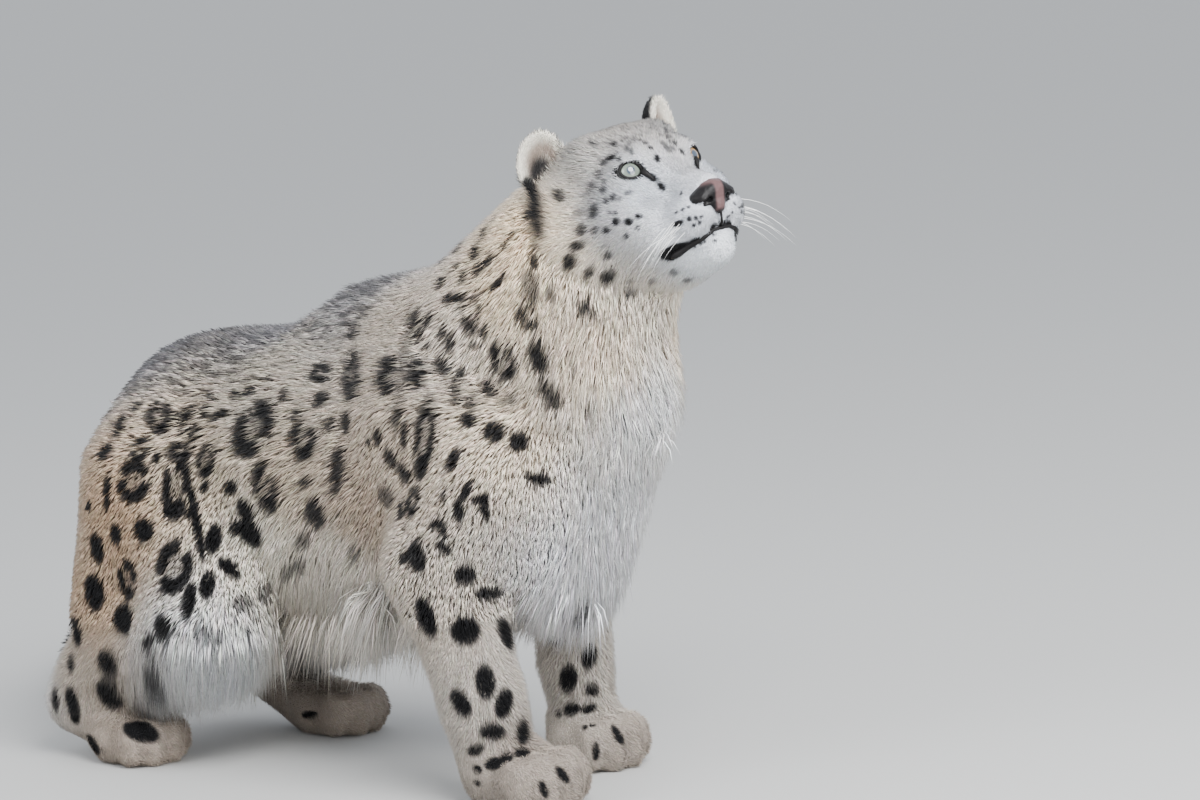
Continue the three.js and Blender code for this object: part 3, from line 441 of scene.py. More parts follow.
SPOTS_FLANK = (
    (280, 395, 7, 7, 0), (318, 400, 10, 6, 40), (334, 348, 4, 4, 0), (351, 331, 8, 5, 90),
    (347, 394, 7, 5, 90), (344, 424, 12, 6, 80), (327, 426, 8, 4, 85), (335, 473, 24, 7, 85),
    (303, 484, 9, 5, 20), (314, 516, 15, 10, 100), (294, 416, 8, 4, 60), (383, 370, 6, 5, 0),
    (414, 381, 6, 5, 0), (414, 320, 12, 4, 80), (404, 436, 14, 3, 88), (396, 418, 8, 4, 85),
    (377, 439, 8, 4, 85), (367, 444, 4, 4, 0), (390, 459, 11, 5, 115), (403, 474, 11, 5, 110),
    (399, 511, 9, 5, 80), (401, 529, 4, 4, 0),
)
SPOTS_SHOULDER = (
    (473, 225, 6, 5, 30), (490, 219, 6, 3, 30), (482, 229, 6, 4, 60), (455, 247, 8, 6, 60),
    (439, 260, 7, 5, 30), (472, 251, 10, 6, 100), (481, 234, 7, 4, 80), (508, 236, 6, 3, 80),
    (502, 247, 7, 4, 50), (516, 231, 6, 4, 90), (522, 216, 8, 3, 80), (531, 250, 5, 3, 90),
    (533, 263, 8, 4, 110), (452, 268, 6, 4, 20), (438, 282, 9, 5, 80), (461, 277, 8, 4, 75),
    (475, 269, 8, 5, 90), (486, 260, 7, 5, 80), (446, 300, 8, 6, 45), (458, 298, 8, 4, 0),
    (472, 297, 5, 4, 60), (496, 286, 11, 3, 48), (531, 303, 5, 4, 0), (458, 310, 5, 4, 90),
    (467, 326, 11, 6, 130), (478, 311, 9, 2, 90), (483, 334, 8, 3, 85), (473, 348, 6, 4, -15),
    (440, 334, 8, 4, 100), (448, 343, 10, 4, 100), (427, 320, 8, 4, 80), (426, 345, 7, 3, 85),
    (417, 337, 8, 4, 60), (440, 366, 11, 6, 130), (416, 378, 8, 5, 40), (509, 374, 5, 4, 0),
    (538, 360, 17, 9, 105), (519, 319, 7, 6, 0), (530, 328, 7, 6, 0), (460, 374, 7, 4, 80),
    (476, 372, 4, 4, 0), (454, 392, 12, 4, 95), (487, 389, 9, 5, 120), (470, 403, 9, 3, 90),
    (550, 397, 17, 8, 125), (587, 312, 10, 5, -25), (467, 421, 8, 7, 0), (493, 433, 10, 10, 0),
    (518, 443, 9, 9, 0), (452, 461, 12, 5, 65), (465, 493, 9, 4, 65), (458, 513, 11, 5, 95),
    (480, 500, 9, 5, 20), (485, 514, 9, 4, 100), (443, 498, 6, 2, 100), (437, 526, 8, 5, 10),
    (443, 532, 8, 3, 100), (443, 549, 8, 5, -30), (416, 558, 15, 9, 100), (403, 559, 7, 5, 30),
    (465, 577, 10, 9, 0), (490, 595, 15, 6, 0), (538, 480, 13, 5, -10),
)
SPOTS_FORELEGS = (
    (426, 619, 19, 8, 107), (466, 632, 14, 13, 0), (508, 635, 17, 6, 115), (486, 683, 16, 9, 95),
    (505, 704, 14, 8, 75), (460, 704, 14, 8, 125), (493, 733, 12, 7, 0), (525, 732, 11, 6, 80),
    (475, 751, 8, 4, 20), (493, 764, 9, 5, 20), (506, 757, 7, 5, 30), (523, 752, 7, 4, 10),
    (476, 770, 5, 4, 0), (476, 784, 4, 3, 60), (563, 775, 9, 3, -55), (544, 790, 8, 3, -70),
    (555, 632, 12, 11, 90), (590, 657, 12, 7, 80), (568, 680, 13, 8, 80), (538, 679, 7, 4, 80),
    (593, 691, 7, 5, 10), (571, 710, 8, 5, 20), (589, 709, 8, 3, 15), (557, 715, 4, 2, 0),
    (582, 604, 12, 9, 60), (604, 605, 7, 4, 70), (618, 735, 10, 3, -60), (596, 752, 8, 3, 90),
    (541, 728, 9, 4, -50), (584, 727, 3, 2, 40), (593, 724, 3, 2, 20), (309, 715, 8, 3, 10),
    (286, 729, 7, 4, 45),
)
SPOTS_HEAD = (
    (596, 173, 5, 2.3, 75), (601, 163, 5, 2.3, 50), (609, 157, 6, 2.2, 5), (617, 158, 2.4, 2, 0),
    (615, 152, 2, 2, 0), (601, 180, 3, 3, 0), (601, 188, 4, 3, 90), (589, 185, 4, 2, 80),
    (604, 200, 3, 3, 0), (612, 196, 4, 2, 80), (592, 210, 8, 3, 85), (607, 213, 2, 2, 0),
    (614, 213, 2, 2, 0), (638, 216, 3, 2, 0), (614, 222, 4, 3, 10), (628, 222, 4, 3, -10),
    (637, 228, 2, 2, 0), (579, 230, 6, 4, 100), (591, 231, 4, 4, 50), (604, 231, 4, 3, 0),
    (603, 199, 3, 3, 0), (625, 237, 2.5, 2, 0), (575, 246, 7, 4, 0), (606, 258, 4, 4, 40),
    (568, 264, 9, 6, 80), (587, 275, 7, 4, 40), (607, 279, 8, 6, 30), (629, 287, 4, 3, 90),
    (631, 299, 7, 5, 0), (591, 140, 3, 3, 0), (613, 142, 3, 2, 90), (645, 141, 2, 2, 0),
    (651, 146, 2, 2, 0), (657, 157, 4, 2, 100), (661, 133, 2, 1, -20), (667, 135, 2, 1, -20),
    (671, 140, 2, 1, -20), (676, 142, 2, 2, 0), (620, 139, 1.6, 1.2, 0), (626, 138, 1.8, 1.1, 0),
    (633, 138, 1.8, 1.1, 0), (639, 138, 1.8, 1.1, 0), (688, 206, 1.5, 1.2, 0), (682, 209, 1.5, 1.3, 0),
    (675, 212, 1.6, 1.3, 0), (702, 217, 1.6, 1.5, 0), (696, 218, 1.8, 1.6, 0), (689, 219, 2, 1.7, 0),
    (677, 224, 6, 2, 25), (700, 223, 1.6, 1.4, 0), (694, 226, 1.8, 1.5, 0), (680, 193, 1.6, 1.3, 0),
    (652, 177, 5, 2.6, -35), (661, 186, 5, 2.2, -55), (704, 242, 1.4, 1.2, 0), (715, 234, 1.4, 1.2, 0),
    (715, 241, 1.4, 1.2, 0),
    (700, 244, 1.4, 1.2, 0), (694, 247, 1.4, 1.2, 0), (736, 203, 1.4, 1.2, 0), (729, 217, 1.4, 1.2, 0),
    (733, 213, 1.4, 1.2, 0), (557, 194, 8, 4, -60),
)
SPOTS_HEAD_GREY = (
    (584, 193, 4, 2, 80), (618, 198, 3, 1.5, 30), (628, 192, 4, 1.5, 20), (576, 213, 5, 3, 80),
    (602, 249, 3, 3, 0), (673, 275, 5, 4, 60), (687, 283, 5, 4, 30), (651, 284, 5, 3, 60),
    (626, 147, 5, 1.6, 100), (631, 150, 5, 1.6, 100), (629, 142, 3, 1.4, 90), (664, 143, 5, 1.5, -40),
    (668, 148, 5, 1.5, -40), (673, 147, 4, 1.3, -40),
)
SPOTS_SOFT = (
    (402, 372, 62, 3, 83), (530, 289, 17, 8, 95), (509, 400, 7, 5, -15), (574, 309, 5, 3, -15),
    (551, 296, 9, 4, 100), (574, 371, 8, 3, 110), (590, 412, 6, 5, 0), (619, 420, 5, 3, -20),
    (302, 544, 12, 7, 60), (287, 574, 10, 6, 60), (298, 569, 10, 6, 60), (354, 557, 10, 4, 110),
    (361, 600, 9, 6, 110), (244, 605, 7, 10, 90), (265, 595, 9, 6, 60), (202, 636, 9, 7, -45),
    (216, 644, 8, 5, 80), (385, 498, 10, 12, 90),
)
MUZZLE_SHADE = (
    (697, 219, 15, 8, 15), (708, 229, 12, 4, 45), (655, 202, 13, 7, 0), (572, 165, 9, 22, 10),
    (680, 165, 8, 16, 60), (590, 195, 16, 9, 80), (715, 200, 10, 16, 60),
)
STRIPE = (
    (534, 209, 30, 6.5, 97), (529, 186, 9, 6, 90),
)
ROSETTES = (
    (157, 416, 16, 11, 100), (138, 450, 11, 8, 80), (132, 482, 18, 15, 80), (250, 430, 27, 18, 55),
    (205, 461, 15, 8, 80), (264, 489, 23, 11, 100), (178, 452, 10, 9, 0), (176, 487, 28, 12, 85),
    (173, 568, 22, 16, 80), (127, 580, 18, 9, 85), (300, 441, 17, 14, 90), (318, 373, 12, 8, 0),
    (350, 373, 22, 9, 88), (384, 376, 17, 9, 85), (416, 372, 16, 7, 85), (424, 438, 36, 8, 83),
    (412, 502, 13, 6, 80), (502, 363, 17, 10, 110),
)
BLACK = 1.0
SOFT = 0.5
FLANK_BLACK, SHOULDER_BLACK, ROSETTE_BLACK = 0.85, 0.92, 0.90
SHADE = 0.12
FAR_JITTER = 9.0
DEPTH_REACH = 1.5
LEAST_REACH = 0.024
draw = np.random.default_rng(23)
camera_at = in_model(CAMERA_AT)


def ray_of(across, below):
    """The direction from the camera through a point of the photograph's frame."""
    return (-CAMERA_BACK * FOCAL_PIXELS + CAMERA_RIGHT * (across - PHOTO_WIDTH / 2)
            + CAMERA_UP * (PHOTO_HEIGHT / 2 - below)).normalized()


marks = []


def marked(spots, strength, ring=False, mirror=True, face=False):
    """Casts each mark on the body; marks of the face are mirrored in the head's own frame."""
    for across, below, half_long, half_wide, slope in spots:
        hit = body_tree.ray_cast(camera_at, ray_of(across, below))
        if hit[0] is None:
            continue
        size = hit[3] / FOCAL_PIXELS
        c, s = math.cos(math.radians(slope)), math.sin(math.radians(slope))
        along = CAMERA_RIGHT * c + CAMERA_UP * s
        beside = CAMERA_UP * c - CAMERA_RIGHT * s
        reach = max(DEPTH_REACH * max(half_wide, half_long) * size, 0 if face else LEAST_REACH)
        shape = (half_wide * size, half_long * size, reach, strength, ring, draw.uniform(0, 6.28))
        marks.append((hit[0].copy(), beside, along, CAMERA_BACK, *shape))
        flip = Matrix.Diagonal((1, -1, 1))
        if face:
            own = to_head(hit[0])
            if own.y > -14:
                continue
            flip = head_turn @ flip @ head_turn.transposed()
            middle = of_head(Vector((own.x, -own.y, own.z)))
        else:
            moved = Vector(draw.uniform(-FAR_JITTER, FAR_JITTER, 3)) / 1000
            middle = Vector((hit[0].x, 2 * place.y - hit[0].y, hit[0].z)) + moved
        if mirror:
            on = body_tree.find_nearest(middle)[0]
            marks.append((on, flip @ beside, flip @ along, flip @ CAMERA_BACK, *shape))


marked(SPOTS_HIND, BLACK)
marked(SPOTS_FLANK, FLANK_BLACK)
marked(SPOTS_SHOULDER, SHOULDER_BLACK)
marked(SPOTS_FORELEGS, BLACK, mirror=False)
marked(SPOTS_SOFT, SOFT)
marked(STRIPE, BLACK, face=True)
marked(ROSETTES, ROSETTE_BLACK, ring=True)
marked(SPOTS_HEAD, BLACK, face=True)
marked(SPOTS_HEAD_GREY, SOFT, face=True)
marked(MUZZLE_SHADE, SHADE, face=True)

# Line of the mouth in the head's frame, black lips, broad at the corners.
MOUTH = ((34, -46, -93), (50, -38, -90), (66, -25, -84), (78, -9, -75), (78, 9, -75), (66, 25, -84),
         (50, 38, -90), (34, 46, -93))
# The line of the back, from rump to nape, by its place across and down in the photograph's frame, and how far
# left of the animal's middle it lies, in millimetres. It is kept to a millimetre.
BACK_SEEN = ((130, 400, -30), (160, 375, -10), (191, 352, 0), (268, 327, 0), (298, 325, 0), (318, 306, 0),
             (344, 293, 0), (382, 287, 0), (405, 281, 0), (417, 264, 0), (520, 201, 0))
back_line = []
for across, below, to_left in BACK_SEEN:
    sight = sight_line(across, below)
    back_line.append(view_from + sight * (to_left - view_from[1]) / sight[1])
spine_x, _, spine_z = np.round(back_line).T
TAIL_RING_STEP = 82


def speckled(points, stretch):
    """Smooth noise from -1 to 1 at each point, in millimetres."""
    scaled = points / np.array(stretch)
    return np.array([noise.noise(Vector(p)) for p in scaled])


def from_line(points, line):
    """Distance of each point from a line of points, and how far along it that is, from 0 to 1."""
    best = np.full(len(points), 1e9)
    where = np.zeros(len(points))
    line = np.array(line, float)
    for i in range(len(line) - 1):
        step = line[i + 1] - line[i]
        t = np.clip((points - line[i]) @ step / (step @ step), 0, 1)
        away = np.linalg.norm(points - line[i] - t[:, None] * step, axis=1)
        near = away < best
        best[near] = away[near]
        where[near] = (i + t[near]) / (len(line) - 1)
    return best, where


def darkness(points, labels):
    """How black the coat is at each point of the model, from 0 to 1, with painted shade deep in the ears'
    cups.
    """
    dark = np.zeros(len(points))
    tree = KDTree(len(points))
    for i, p in enumerate(points):
        tree.insert(p, i)
    tree.balance()
    for middle, beside, along, through, wide, high, deep, strength, ring, phase in marks:
        near = [i for _, i, _ in tree.find_range(middle, 1.5 * max(wide, high, 0.003))]
        if not near:
            continue
        near = np.array(near)
        d = points[near] - np.array(middle)
        u = d @ np.array(beside) / (1.08 * wide + 0.0010)
        v = d @ np.array(along) / (1.08 * high + 0.0010)
        w = d @ np.array(through) / deep
        q = np.sqrt(u * u + v * v + w * w)
        if ring:
            around = np.arctan2(v, u)
            gaps = fade(np.sin(2.0 * around + phase) + 0.5 * np.sin(5 * around + 2 * phase), -1.25, -0.75)
            m = strength * gaps * fade(-np.abs(q - 0.82), -0.42, -0.20) + 0.30 * fade(-q, -0.85, -0.5)
        else:
            m = strength * fade(-q, -1.18, -0.80)
        dark[near] = np.maximum(dark[near], m)
    at = millimetres(points)
    head = head_frame(points)
    torso_rows = np.flatnonzero(among(labels, TRUNK))
    t = at[torso_rows]
    spine = np.interp(t[:, 0], spine_x, spine_z)
    band = fade(t[:, 2] - spine, -78, -26) * fade(-t[:, 0], -190, -60)
    grain = 1.6 * speckled(t, (15, 8, 8)) + 0.8 * speckled(t + 300, (7, 5, 5))
    saddle = 0.52 * fade(grain + 1.1 * band - 0.85, 0.1, 0.5) * fade(band, 0.02, 0.2)
    dark[torso_rows] = np.maximum(dark[torso_rows], saddle)
    ridge = fade(t[:, 2] - spine, -13, -5) * fade(-t[:, 0], -190, -60)
    dark[torso_rows] = np.maximum(dark[torso_rows], 0.30 * ridge)
    tail_there = np.flatnonzero(among(labels, TAIL_PARTS))
    if len(tail_there):
        t = at[tail_there]
        reach, _, middle = along_tail(t)
        above = (t[:, 2] - middle[:, 2]) / 45
        wave = np.sin(reach / TAIL_RING_STEP * 2 * math.pi + 0.8 * speckled(t, (40, 40, 40)))
        rings = fade(wave + 0.35 * above + 0.4 * speckled(t + 90, (14, 14, 14)), 0.42, 0.72)
        rings = rings * fade(above, -0.75, 0.1)
        tip = fade(reach, tail_reach[-1] - 60, tail_reach[-1] - 25)
        dark[tail_there] = np.maximum(dark[tail_there], 0.93 * np.maximum(rings, tip))
    head_there = np.flatnonzero(labels == PARTS.index("head"))
    if len(head_there):
        h = head[head_there]
        away, where = from_line(h, MOUTH)
        corner = fade(np.abs(where - 0.5), 0.26, 0.40)
        lips = fade(-away, -4.0 - 6.0 * corner, -2.8 - 4.6 * corner)
        for eye_side in (-1, 1):
            d = h - np.array(eye_middle(eye_side))
            rim = np.linalg.norm(d, axis=1)
            lips = np.maximum(lips, fade(-rim, -18.6, -17.6))
        streak = speckled(h, (9, 3, 5)) + 0.5 * speckled(h + 200, (5, 2, 3))
        crown = fade(h[:, 2], 20, 38) * fade(-h[:, 0], -4, 12)
        streaks = 0.5 * crown * fade(streak, 0.12, 0.45)
        dark[head_there] = np.maximum(dark[head_there], np.maximum(lips, streaks))
    for name in EARS:
        rows = np.flatnonzero(labels == PARTS.index(name))
        if len(rows):
            e = ear_frame(name, head[rows])
            within = (e[:, 0] / 24) ** 2 + ((e[:, 1] - 2) / 32) ** 2 + ((e[:, 2] - 10) / 17) ** 2
            cup = fade(-within, -1.5, -1.15)
            back = fade(-e[:, 2], -3, 3) * (1 - cup)
            back = back * (1 - 0.75 * fade(-np.hypot(e[:, 0] / 15, (e[:, 1] - 6) / 20), -1.1, -0.7))
            # Deep in each ear's cup the coat is painted nearly black, as painted shade in the hollow.
            deep = fade(-np.hypot((e[:, 0] + 2) / 14, (e[:, 1] + 9) / 21), -1.2, -0.5)
            hollow_shade = 0.86 * cup * deep
            dark[rows] = np.maximum(dark[rows], np.maximum(back, hollow_shade))
    dark[labels == PARTS.index("nose")] = 0.96
    return np.clip(dark, 0, 1)


# Ground colours of the coat at places on the right half, in millimetres, the thigh's with painted shade in
# them; the left half has the same.
TINTS = (
    ((-300, 0, 470), (0.66, 0.65, 0.66)), ((-100, 0, 505), (0.66, 0.65, 0.66)),
    ((60, 0, 560), (0.68, 0.67, 0.67)), ((200, 0, 640), (0.74, 0.72, 0.71)),
    ((-150, 120, 370), (0.76, 0.70, 0.62)), ((0, 122, 360), (0.76, 0.70, 0.62)),
    ((-60, 115, 265), (0.90, 0.87, 0.81)), ((60, 115, 255), (0.90, 0.87, 0.82)),
    ((-60, 100, 460), (0.75, 0.71, 0.65)), ((110, 110, 330), (0.70, 0.63, 0.56)),
    ((200, 115, 400), (0.77, 0.71, 0.64)), ((180, 90, 520), (0.77, 0.72, 0.66)),
    ((270, 110, 520), (0.90, 0.85, 0.79)), ((340, 100, 590), (0.95, 0.87, 0.76)),
    ((380, 95, 640), (0.97, 0.87, 0.74)), ((440, 0, 450), (0.92, 0.92, 0.92)),
    ((400, 0, 350), (0.92, 0.92, 0.93)), ((350, 30, 260), (0.90, 0.90, 0.91)),
    ((430, 60, 520), (0.90, 0.84, 0.76)), ((330, 100, 430), (0.84, 0.78, 0.70)),
    ((-50, 60, 200), (0.88, 0.85, 0.80)), ((60, 60, 210), (0.87, 0.85, 0.82)),
    ((-130, 130, 150), (0.88, 0.89, 0.90)), ((-200, 125, 120), (0.86, 0.86, 0.86)),
    # The two thigh tints below keep the coat's warm brown but are darkened further, as painted shade of the
    # hind quarters lying away from the light.
    ((-250, 125, 300), (0.71, 0.60, 0.49)), ((-310, 110, 200), (0.71, 0.60, 0.49)),
    ((-370, 110, 110), (0.72, 0.67, 0.61)), ((-440, 115, 100), (0.84, 0.83, 0.82)),
    ((-400, 60, 300), (0.84, 0.83, 0.82)), ((230, 120, 230), (0.75, 0.71, 0.66)),
    ((260, 105, 110), (0.74, 0.71, 0.67)), ((330, 95, 50), (0.58, 0.54, 0.50)),
    ((-290, 119, 30), (0.63, 0.58, 0.53)), ((-180, 100, 30), (0.63, 0.58, 0.53)),
    ((-420, 20, 330), (0.80, 0.78, 0.76)), ((-600, 110, 60), (0.84, 0.83, 0.81)),
    ((-850, 400, 45), (0.86, 0.85, 0.83)), ((440, 0, 765), (0.68, 0.65, 0.62)),
    ((495, 0, 745), (0.70, 0.68, 0.66)), ((550, 10, 725), (0.80, 0.79, 0.80)),
    ((480, 60, 650), (0.77, 0.77, 0.78)), ((520, 50, 680), (0.75, 0.77, 0.80)),
    ((565, 20, 610), (0.88, 0.90, 0.92)), ((570, 30, 650), (0.80, 0.81, 0.84)),
    ((480, 0, 585), (0.91, 0.87, 0.81)), ((400, 90, 720), (0.80, 0.79, 0.77)),
    ((430, 60, 620), (0.96, 0.90, 0.81)),
)
BLACK_HAIR = np.array((0.03, 0.03, 0.04))
EAR_INNER = np.array((0.50, 0.45, 0.41))
EAR_EDGE = np.array((0.84, 0.82, 0.77))
tint_at = np.array([t[0] for t in TINTS], float)
tint_colour = np.array([t[1] for t in TINTS], float)


def coat_colour(points, dark, labels):
    """Colour of the coat as the eye sees it, ground tint and markings together."""
    at = millimetres(points)
    folded = np.stack((at[:, 0], np.abs(at[:, 1]), at[:, 2]), 1)
    on_tail = among(labels, TAIL_PARTS)
    folded[on_tail] = at[on_tail]
    weight = np.stack([1 / (((folded - t) ** 2).sum(1) + 400) ** 1.8 for t in tint_at], 1)
    ground = weight @ tint_colour / weight.sum(1)[:, None]
    for name in EARS:
        rows = np.flatnonzero(labels == PARTS.index(name))
        if len(rows):
            e = ear_frame(name, head_frame(points[rows]))
            rim = np.hypot(e[:, 0] / 29, e[:, 1] / 38)
            inner = fade(-rim, -0.80, -0.45)[:, None] * fade(e[:, 2], -12, -6)[:, None]
            ground[rows] = (1 - inner) * EAR_EDGE + inner * EAR_INNER
    return ground * (1 - dark[:, None]) + BLACK_HAIR * dark[:, None]


def linear(colour):
    """A colour as the eye sees it, turned into amounts of light."""
    return np.where(colour <= 0.04045, colour / 12.92, ((np.maximum(colour, 0) + 0.055) / 1.055) ** 2.4)


def tinted(piece, colours):
    """Gives each corner of a piece its colour, as the attribute that the coat's finish reads."""
    attribute = piece.data.color_attributes.new("coat", "FLOAT_COLOR", "POINT")
    rows = np.concatenate((linear(colours), np.ones((len(colours), 1))), 1)
    attribute.data.foreach_set("color", rows.astype(np.float32).ravel())


# The skin seen between the tufts is darkened by this share, as painted shade under the coat.
SKIN_PAINTED_SHADE = 0.86
skin_dark = darkness(co, label)
tinted(skin, coat_colour(co, skin_dark, label) * SKIN_PAINTED_SHADE)


def finish(name, roughness):
    """A new finish of one roughness, with its nodes, its links and its surface."""
    material = bpy.data.materials.new(name)
    material.use_nodes = True
    nodes = material.node_tree.nodes
    nodes["Principled BSDF"].inputs["Roughness"].default_value = roughness
    return material, nodes, material.node_tree.links, nodes["Principled BSDF"]


def sum_node(nodes, kind, operation):
    node = nodes.new(kind)
    node.operation = operation
    return node


def coat_finish(name, roughness, bump):
    """Hair: the coat's colour, broken up by a fine grain, soft and slightly glossy."""
    material, nodes, links, shader = finish(name, roughness)
    shader.inputs["Specular IOR Level"].default_value = 0.15
    shader.inputs["Sheen Weight"].default_value = 0.03
    shader.inputs["Sheen Roughness"].default_value = 0.5
    colour = nodes.new("ShaderNodeAttribute")
    colour.attribute_name = "coat"
    where = nodes.new("ShaderNodeTexCoord")
    grain = nodes.new("ShaderNodeTexNoise")
    grain.inputs["Scale"].default_value = 260
    grain.inputs["Detail"].default_value = 3
    links.new(where.outputs["Object"], grain.inputs["Vector"])
    span = nodes.new("ShaderNodeMapRange")
    span.inputs["To Min"].default_value = 0.86
    span.inputs["To Max"].default_value = 1.14
    links.new(grain.outputs["Fac"], span.inputs["Value"])
    mix = sum_node(nodes, "ShaderNodeVectorMath", "SCALE")
    links.new(colour.outputs["Color"], mix.inputs[0])
    links.new(span.outputs["Result"], mix.inputs["Scale"])
    links.new(mix.outputs["Vector"], shader.inputs["Base Color"])
    if bump:
        lump = nodes.new("ShaderNodeBump")
        lump.inputs["Strength"].default_value = bump
        lump.inputs["Distance"].default_value = 0.001
        links.new(grain.outputs["Fac"], lump.inputs["Height"])
        links.new(lump.outputs["Normal"], shader.inputs["Normal"])
    return material


skin.data.materials.clear()
skin.data.materials.append(coat_finish("skin_under_coat", 0.8, 0.6))
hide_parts(*FLESH)
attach(skin, "root")

# The coat.
# Tufts of hair rooted in the skin, each a thin tapered wedge that lies along the body and bends towards it.
# They stand in pieces by part of the body, and each is coloured from its place in the markings, darkened
# towards its root and lightened at its tip as painted shade.
SEEDINGS = 6
WIDTH_LONG, WIDTH_SHORT = 0.56, 0.80
CLUMP = 13
CLUMP_PULL = 0.24
TURN_WILD = 0.24
# Tufts are painted darker at the root and a little lighter at the tip, as painted shade in the depth of the
# coat.
ROOT_PAINTED_SHADE, TIP_PAINTED_LIGHT = 0.90, 1.02
faces_flat = np.empty(len(skin.data.loops), np.int32)
skin.data.loops.foreach_get("vertex_index", faces_flat)
starts = np.empty(len(skin.data.polygons), np.int32)
skin.data.polygons.foreach_get("loop_start", starts)
sizes = np.empty(len(skin.data.polygons), np.int32)
skin.data.polygons.foreach_get("loop_total", sizes)
quads = np.stack([faces_flat[starts[sizes == 4] + k] for k in range(4)], 1)


def celled(cells):
    """One whole number for each little cell of space."""
    return cells[:, 0] * 73856093 ^ cells[:, 1] * 19349663 ^ cells[:, 2] * 83492791


seeded = []
for _ in range(SEEDINGS):
    a, b = draw.uniform(0, 1, (2, len(quads), 1))
    seeded.append((co[quads[:, 0]] * (1 - a) + co[quads[:, 1]] * a) * (1 - b)
                  + (co[quads[:, 3]] * (1 - a) + co[quads[:, 2]] * a) * b)
root = np.concatenate(seeded)
corner = np.tile(quads[:, 0], SEEDINGS)
# One tuft to each little cell, as wide as the room between tufts.
room = space[corner] / 1000
steps = np.round(np.log2(room / 0.001) * 4) / 4
cell = 0.001 * 2 ** steps
key = np.floor(root / cell[:, None]).astype(np.int64)
code = celled(key) * 64 + (steps * 4).astype(np.int64)
_, chosen = np.unique(code, return_index=True)
chosen = chosen[~among(label[corner[chosen]], BARE)]
root, corner = root[chosen], corner[chosen]
kind = label[corner]
n = normal[corner]
t = lie[corner]
n_tufts = len(root)
long = length[corner] / 1000 * draw.uniform(0.68, 1.2, n_tufts)
high = depth[corner] / 1000
wave = speckled(millimetres(root), (45, 45, 45)) + 0.5 * speckled(millimetres(root) + 500, (18, 18, 18))
turn = 0.35 * wave + draw.normal(0, TURN_WILD, n_tufts)
beside = np.cross(n, t)
t = t * np.cos(turn)[:, None] + beside * np.sin(turn)[:, None]
beside = np.cross(t, n)
lift = np.arcsin(np.clip(high / long * draw.uniform(0.8, 1.2, n_tufts), 0.10, 0.75))
mid = root + 0.5 * long[:, None] * (np.cos(1.3 * lift)[:, None] * t + np.sin(1.3 * lift)[:, None] * n)
tip = mid + 0.5 * long[:, None] * (np.cos(0.7 * lift)[:, None] * t + np.sin(0.7 * lift)[:, None] * n)
clump_key = np.floor(root * 1000 / CLUMP).astype(np.int64)
_, inverse = np.unique(celled(clump_key), return_inverse=True)
count = np.bincount(inverse)
clump_tip = np.stack([np.bincount(inverse, weights=tip[:, k]) / count for k in range(3)], 1)[inverse]
pull = CLUMP_PULL * fade(long, 0.010, 0.022)
tip = tip + pull[:, None] * (clump_tip - tip)
# Gravity draws the tips of the long hair down, most under the belly.
droop = fade(-millimetres(root)[:, 2], *FRINGE_HEIGHT) * among(kind, ("belly", "chest", "rump"))
sag = (0.10 * fade(long, 0.02, 0.05) + 0.55 * droop + 0.60 * knee[corner]) * long
tip[:, 2] -= sag
mid[:, 2] -= 0.35 * sag
FLOOR_CLEAR = 0.0004
ROOT_DEPTH = 0.0012
mid[:, 2] = np.maximum(mid[:, 2], FLOOR_CLEAR + 0.001)
tip[:, 2] = np.maximum(tip[:, 2], FLOOR_CLEAR)
wide = space[corner] / 1000 * draw.uniform(0.7, 1.2, n_tufts)
wide *= WIDTH_SHORT + (WIDTH_LONG - WIDTH_SHORT) * fade(space[corner], 2.3, 3.2)
base = root - n * ROOT_DEPTH
blade = np.stack((
    base + beside * (wide / 2)[:, None], base - beside * (wide / 2)[:, None],
    base + n * (0.35 * wide)[:, None], mid + beside * (0.40 * wide)[:, None],
    mid - beside * (0.40 * wide)[:, None], mid + n * (0.30 * wide)[:, None], tip), 1)
BLADE = ((0, 1, 2, 3, 4, 6), ((0, 1, 4, 3), (1, 2, 4), (2, 0, 3), (2, 3, 5), (4, 2, 5), (3, 4, 5), (0, 2, 1)))
STRAND = ((0, 1, 2, 3, 4, 5, 6), ((0, 1, 4, 3), (1, 2, 5, 4), (2, 0, 3, 5), (3, 4, 6), (4, 5, 6), (5, 3, 6),
                                    (0, 2, 1)))
SPIKE = ((0, 1, 2, 6), ((0, 1, 3), (1, 2, 3), (2, 0, 3), (0, 2, 1)))
BLADE_PATCH = np.array(((-1, -1), (1, -1), (0, -1), (-0.6, 0), (0.6, 0), (0, 0), (0, 1)))
LONG_COAT = ("coat_flank", "coat_chest", "coat_neck")
SHORT_COAT = ("coat_head", "coat_ear", "coat_foreleg", "coat_hindleg")
PATCH = 0.0015
dark = darkness(root + 0.62 * (tip - root), kind)
dark_root = 0.4 * dark + 0.6 * darkness(root + 0.15 * (tip - root), kind)
dark_tip = 0.5 * dark + 0.5 * darkness(tip, kind)
speck = draw.normal(0, 0.05, (n_tufts, 1)) + draw.normal(0, 0.012, (n_tufts, 3))
ground = coat_colour(root, np.zeros(n_tufts), kind) * (1 + speck)


def darkened(share):
    return ground * (1 - share[:, None]) + BLACK_HAIR * share[:, None]


# Root and middle are darkened and the tip lightened: painted shade along each tuft.
shades = np.stack([darkened(dark_root) * ROOT_PAINTED_SHADE] * 3 + [darkened(dark) * 0.96] * 3
                  + [darkened(dark_tip) * TIP_PAINTED_LIGHT], 1)
shades = np.clip(shades, 0, 1)


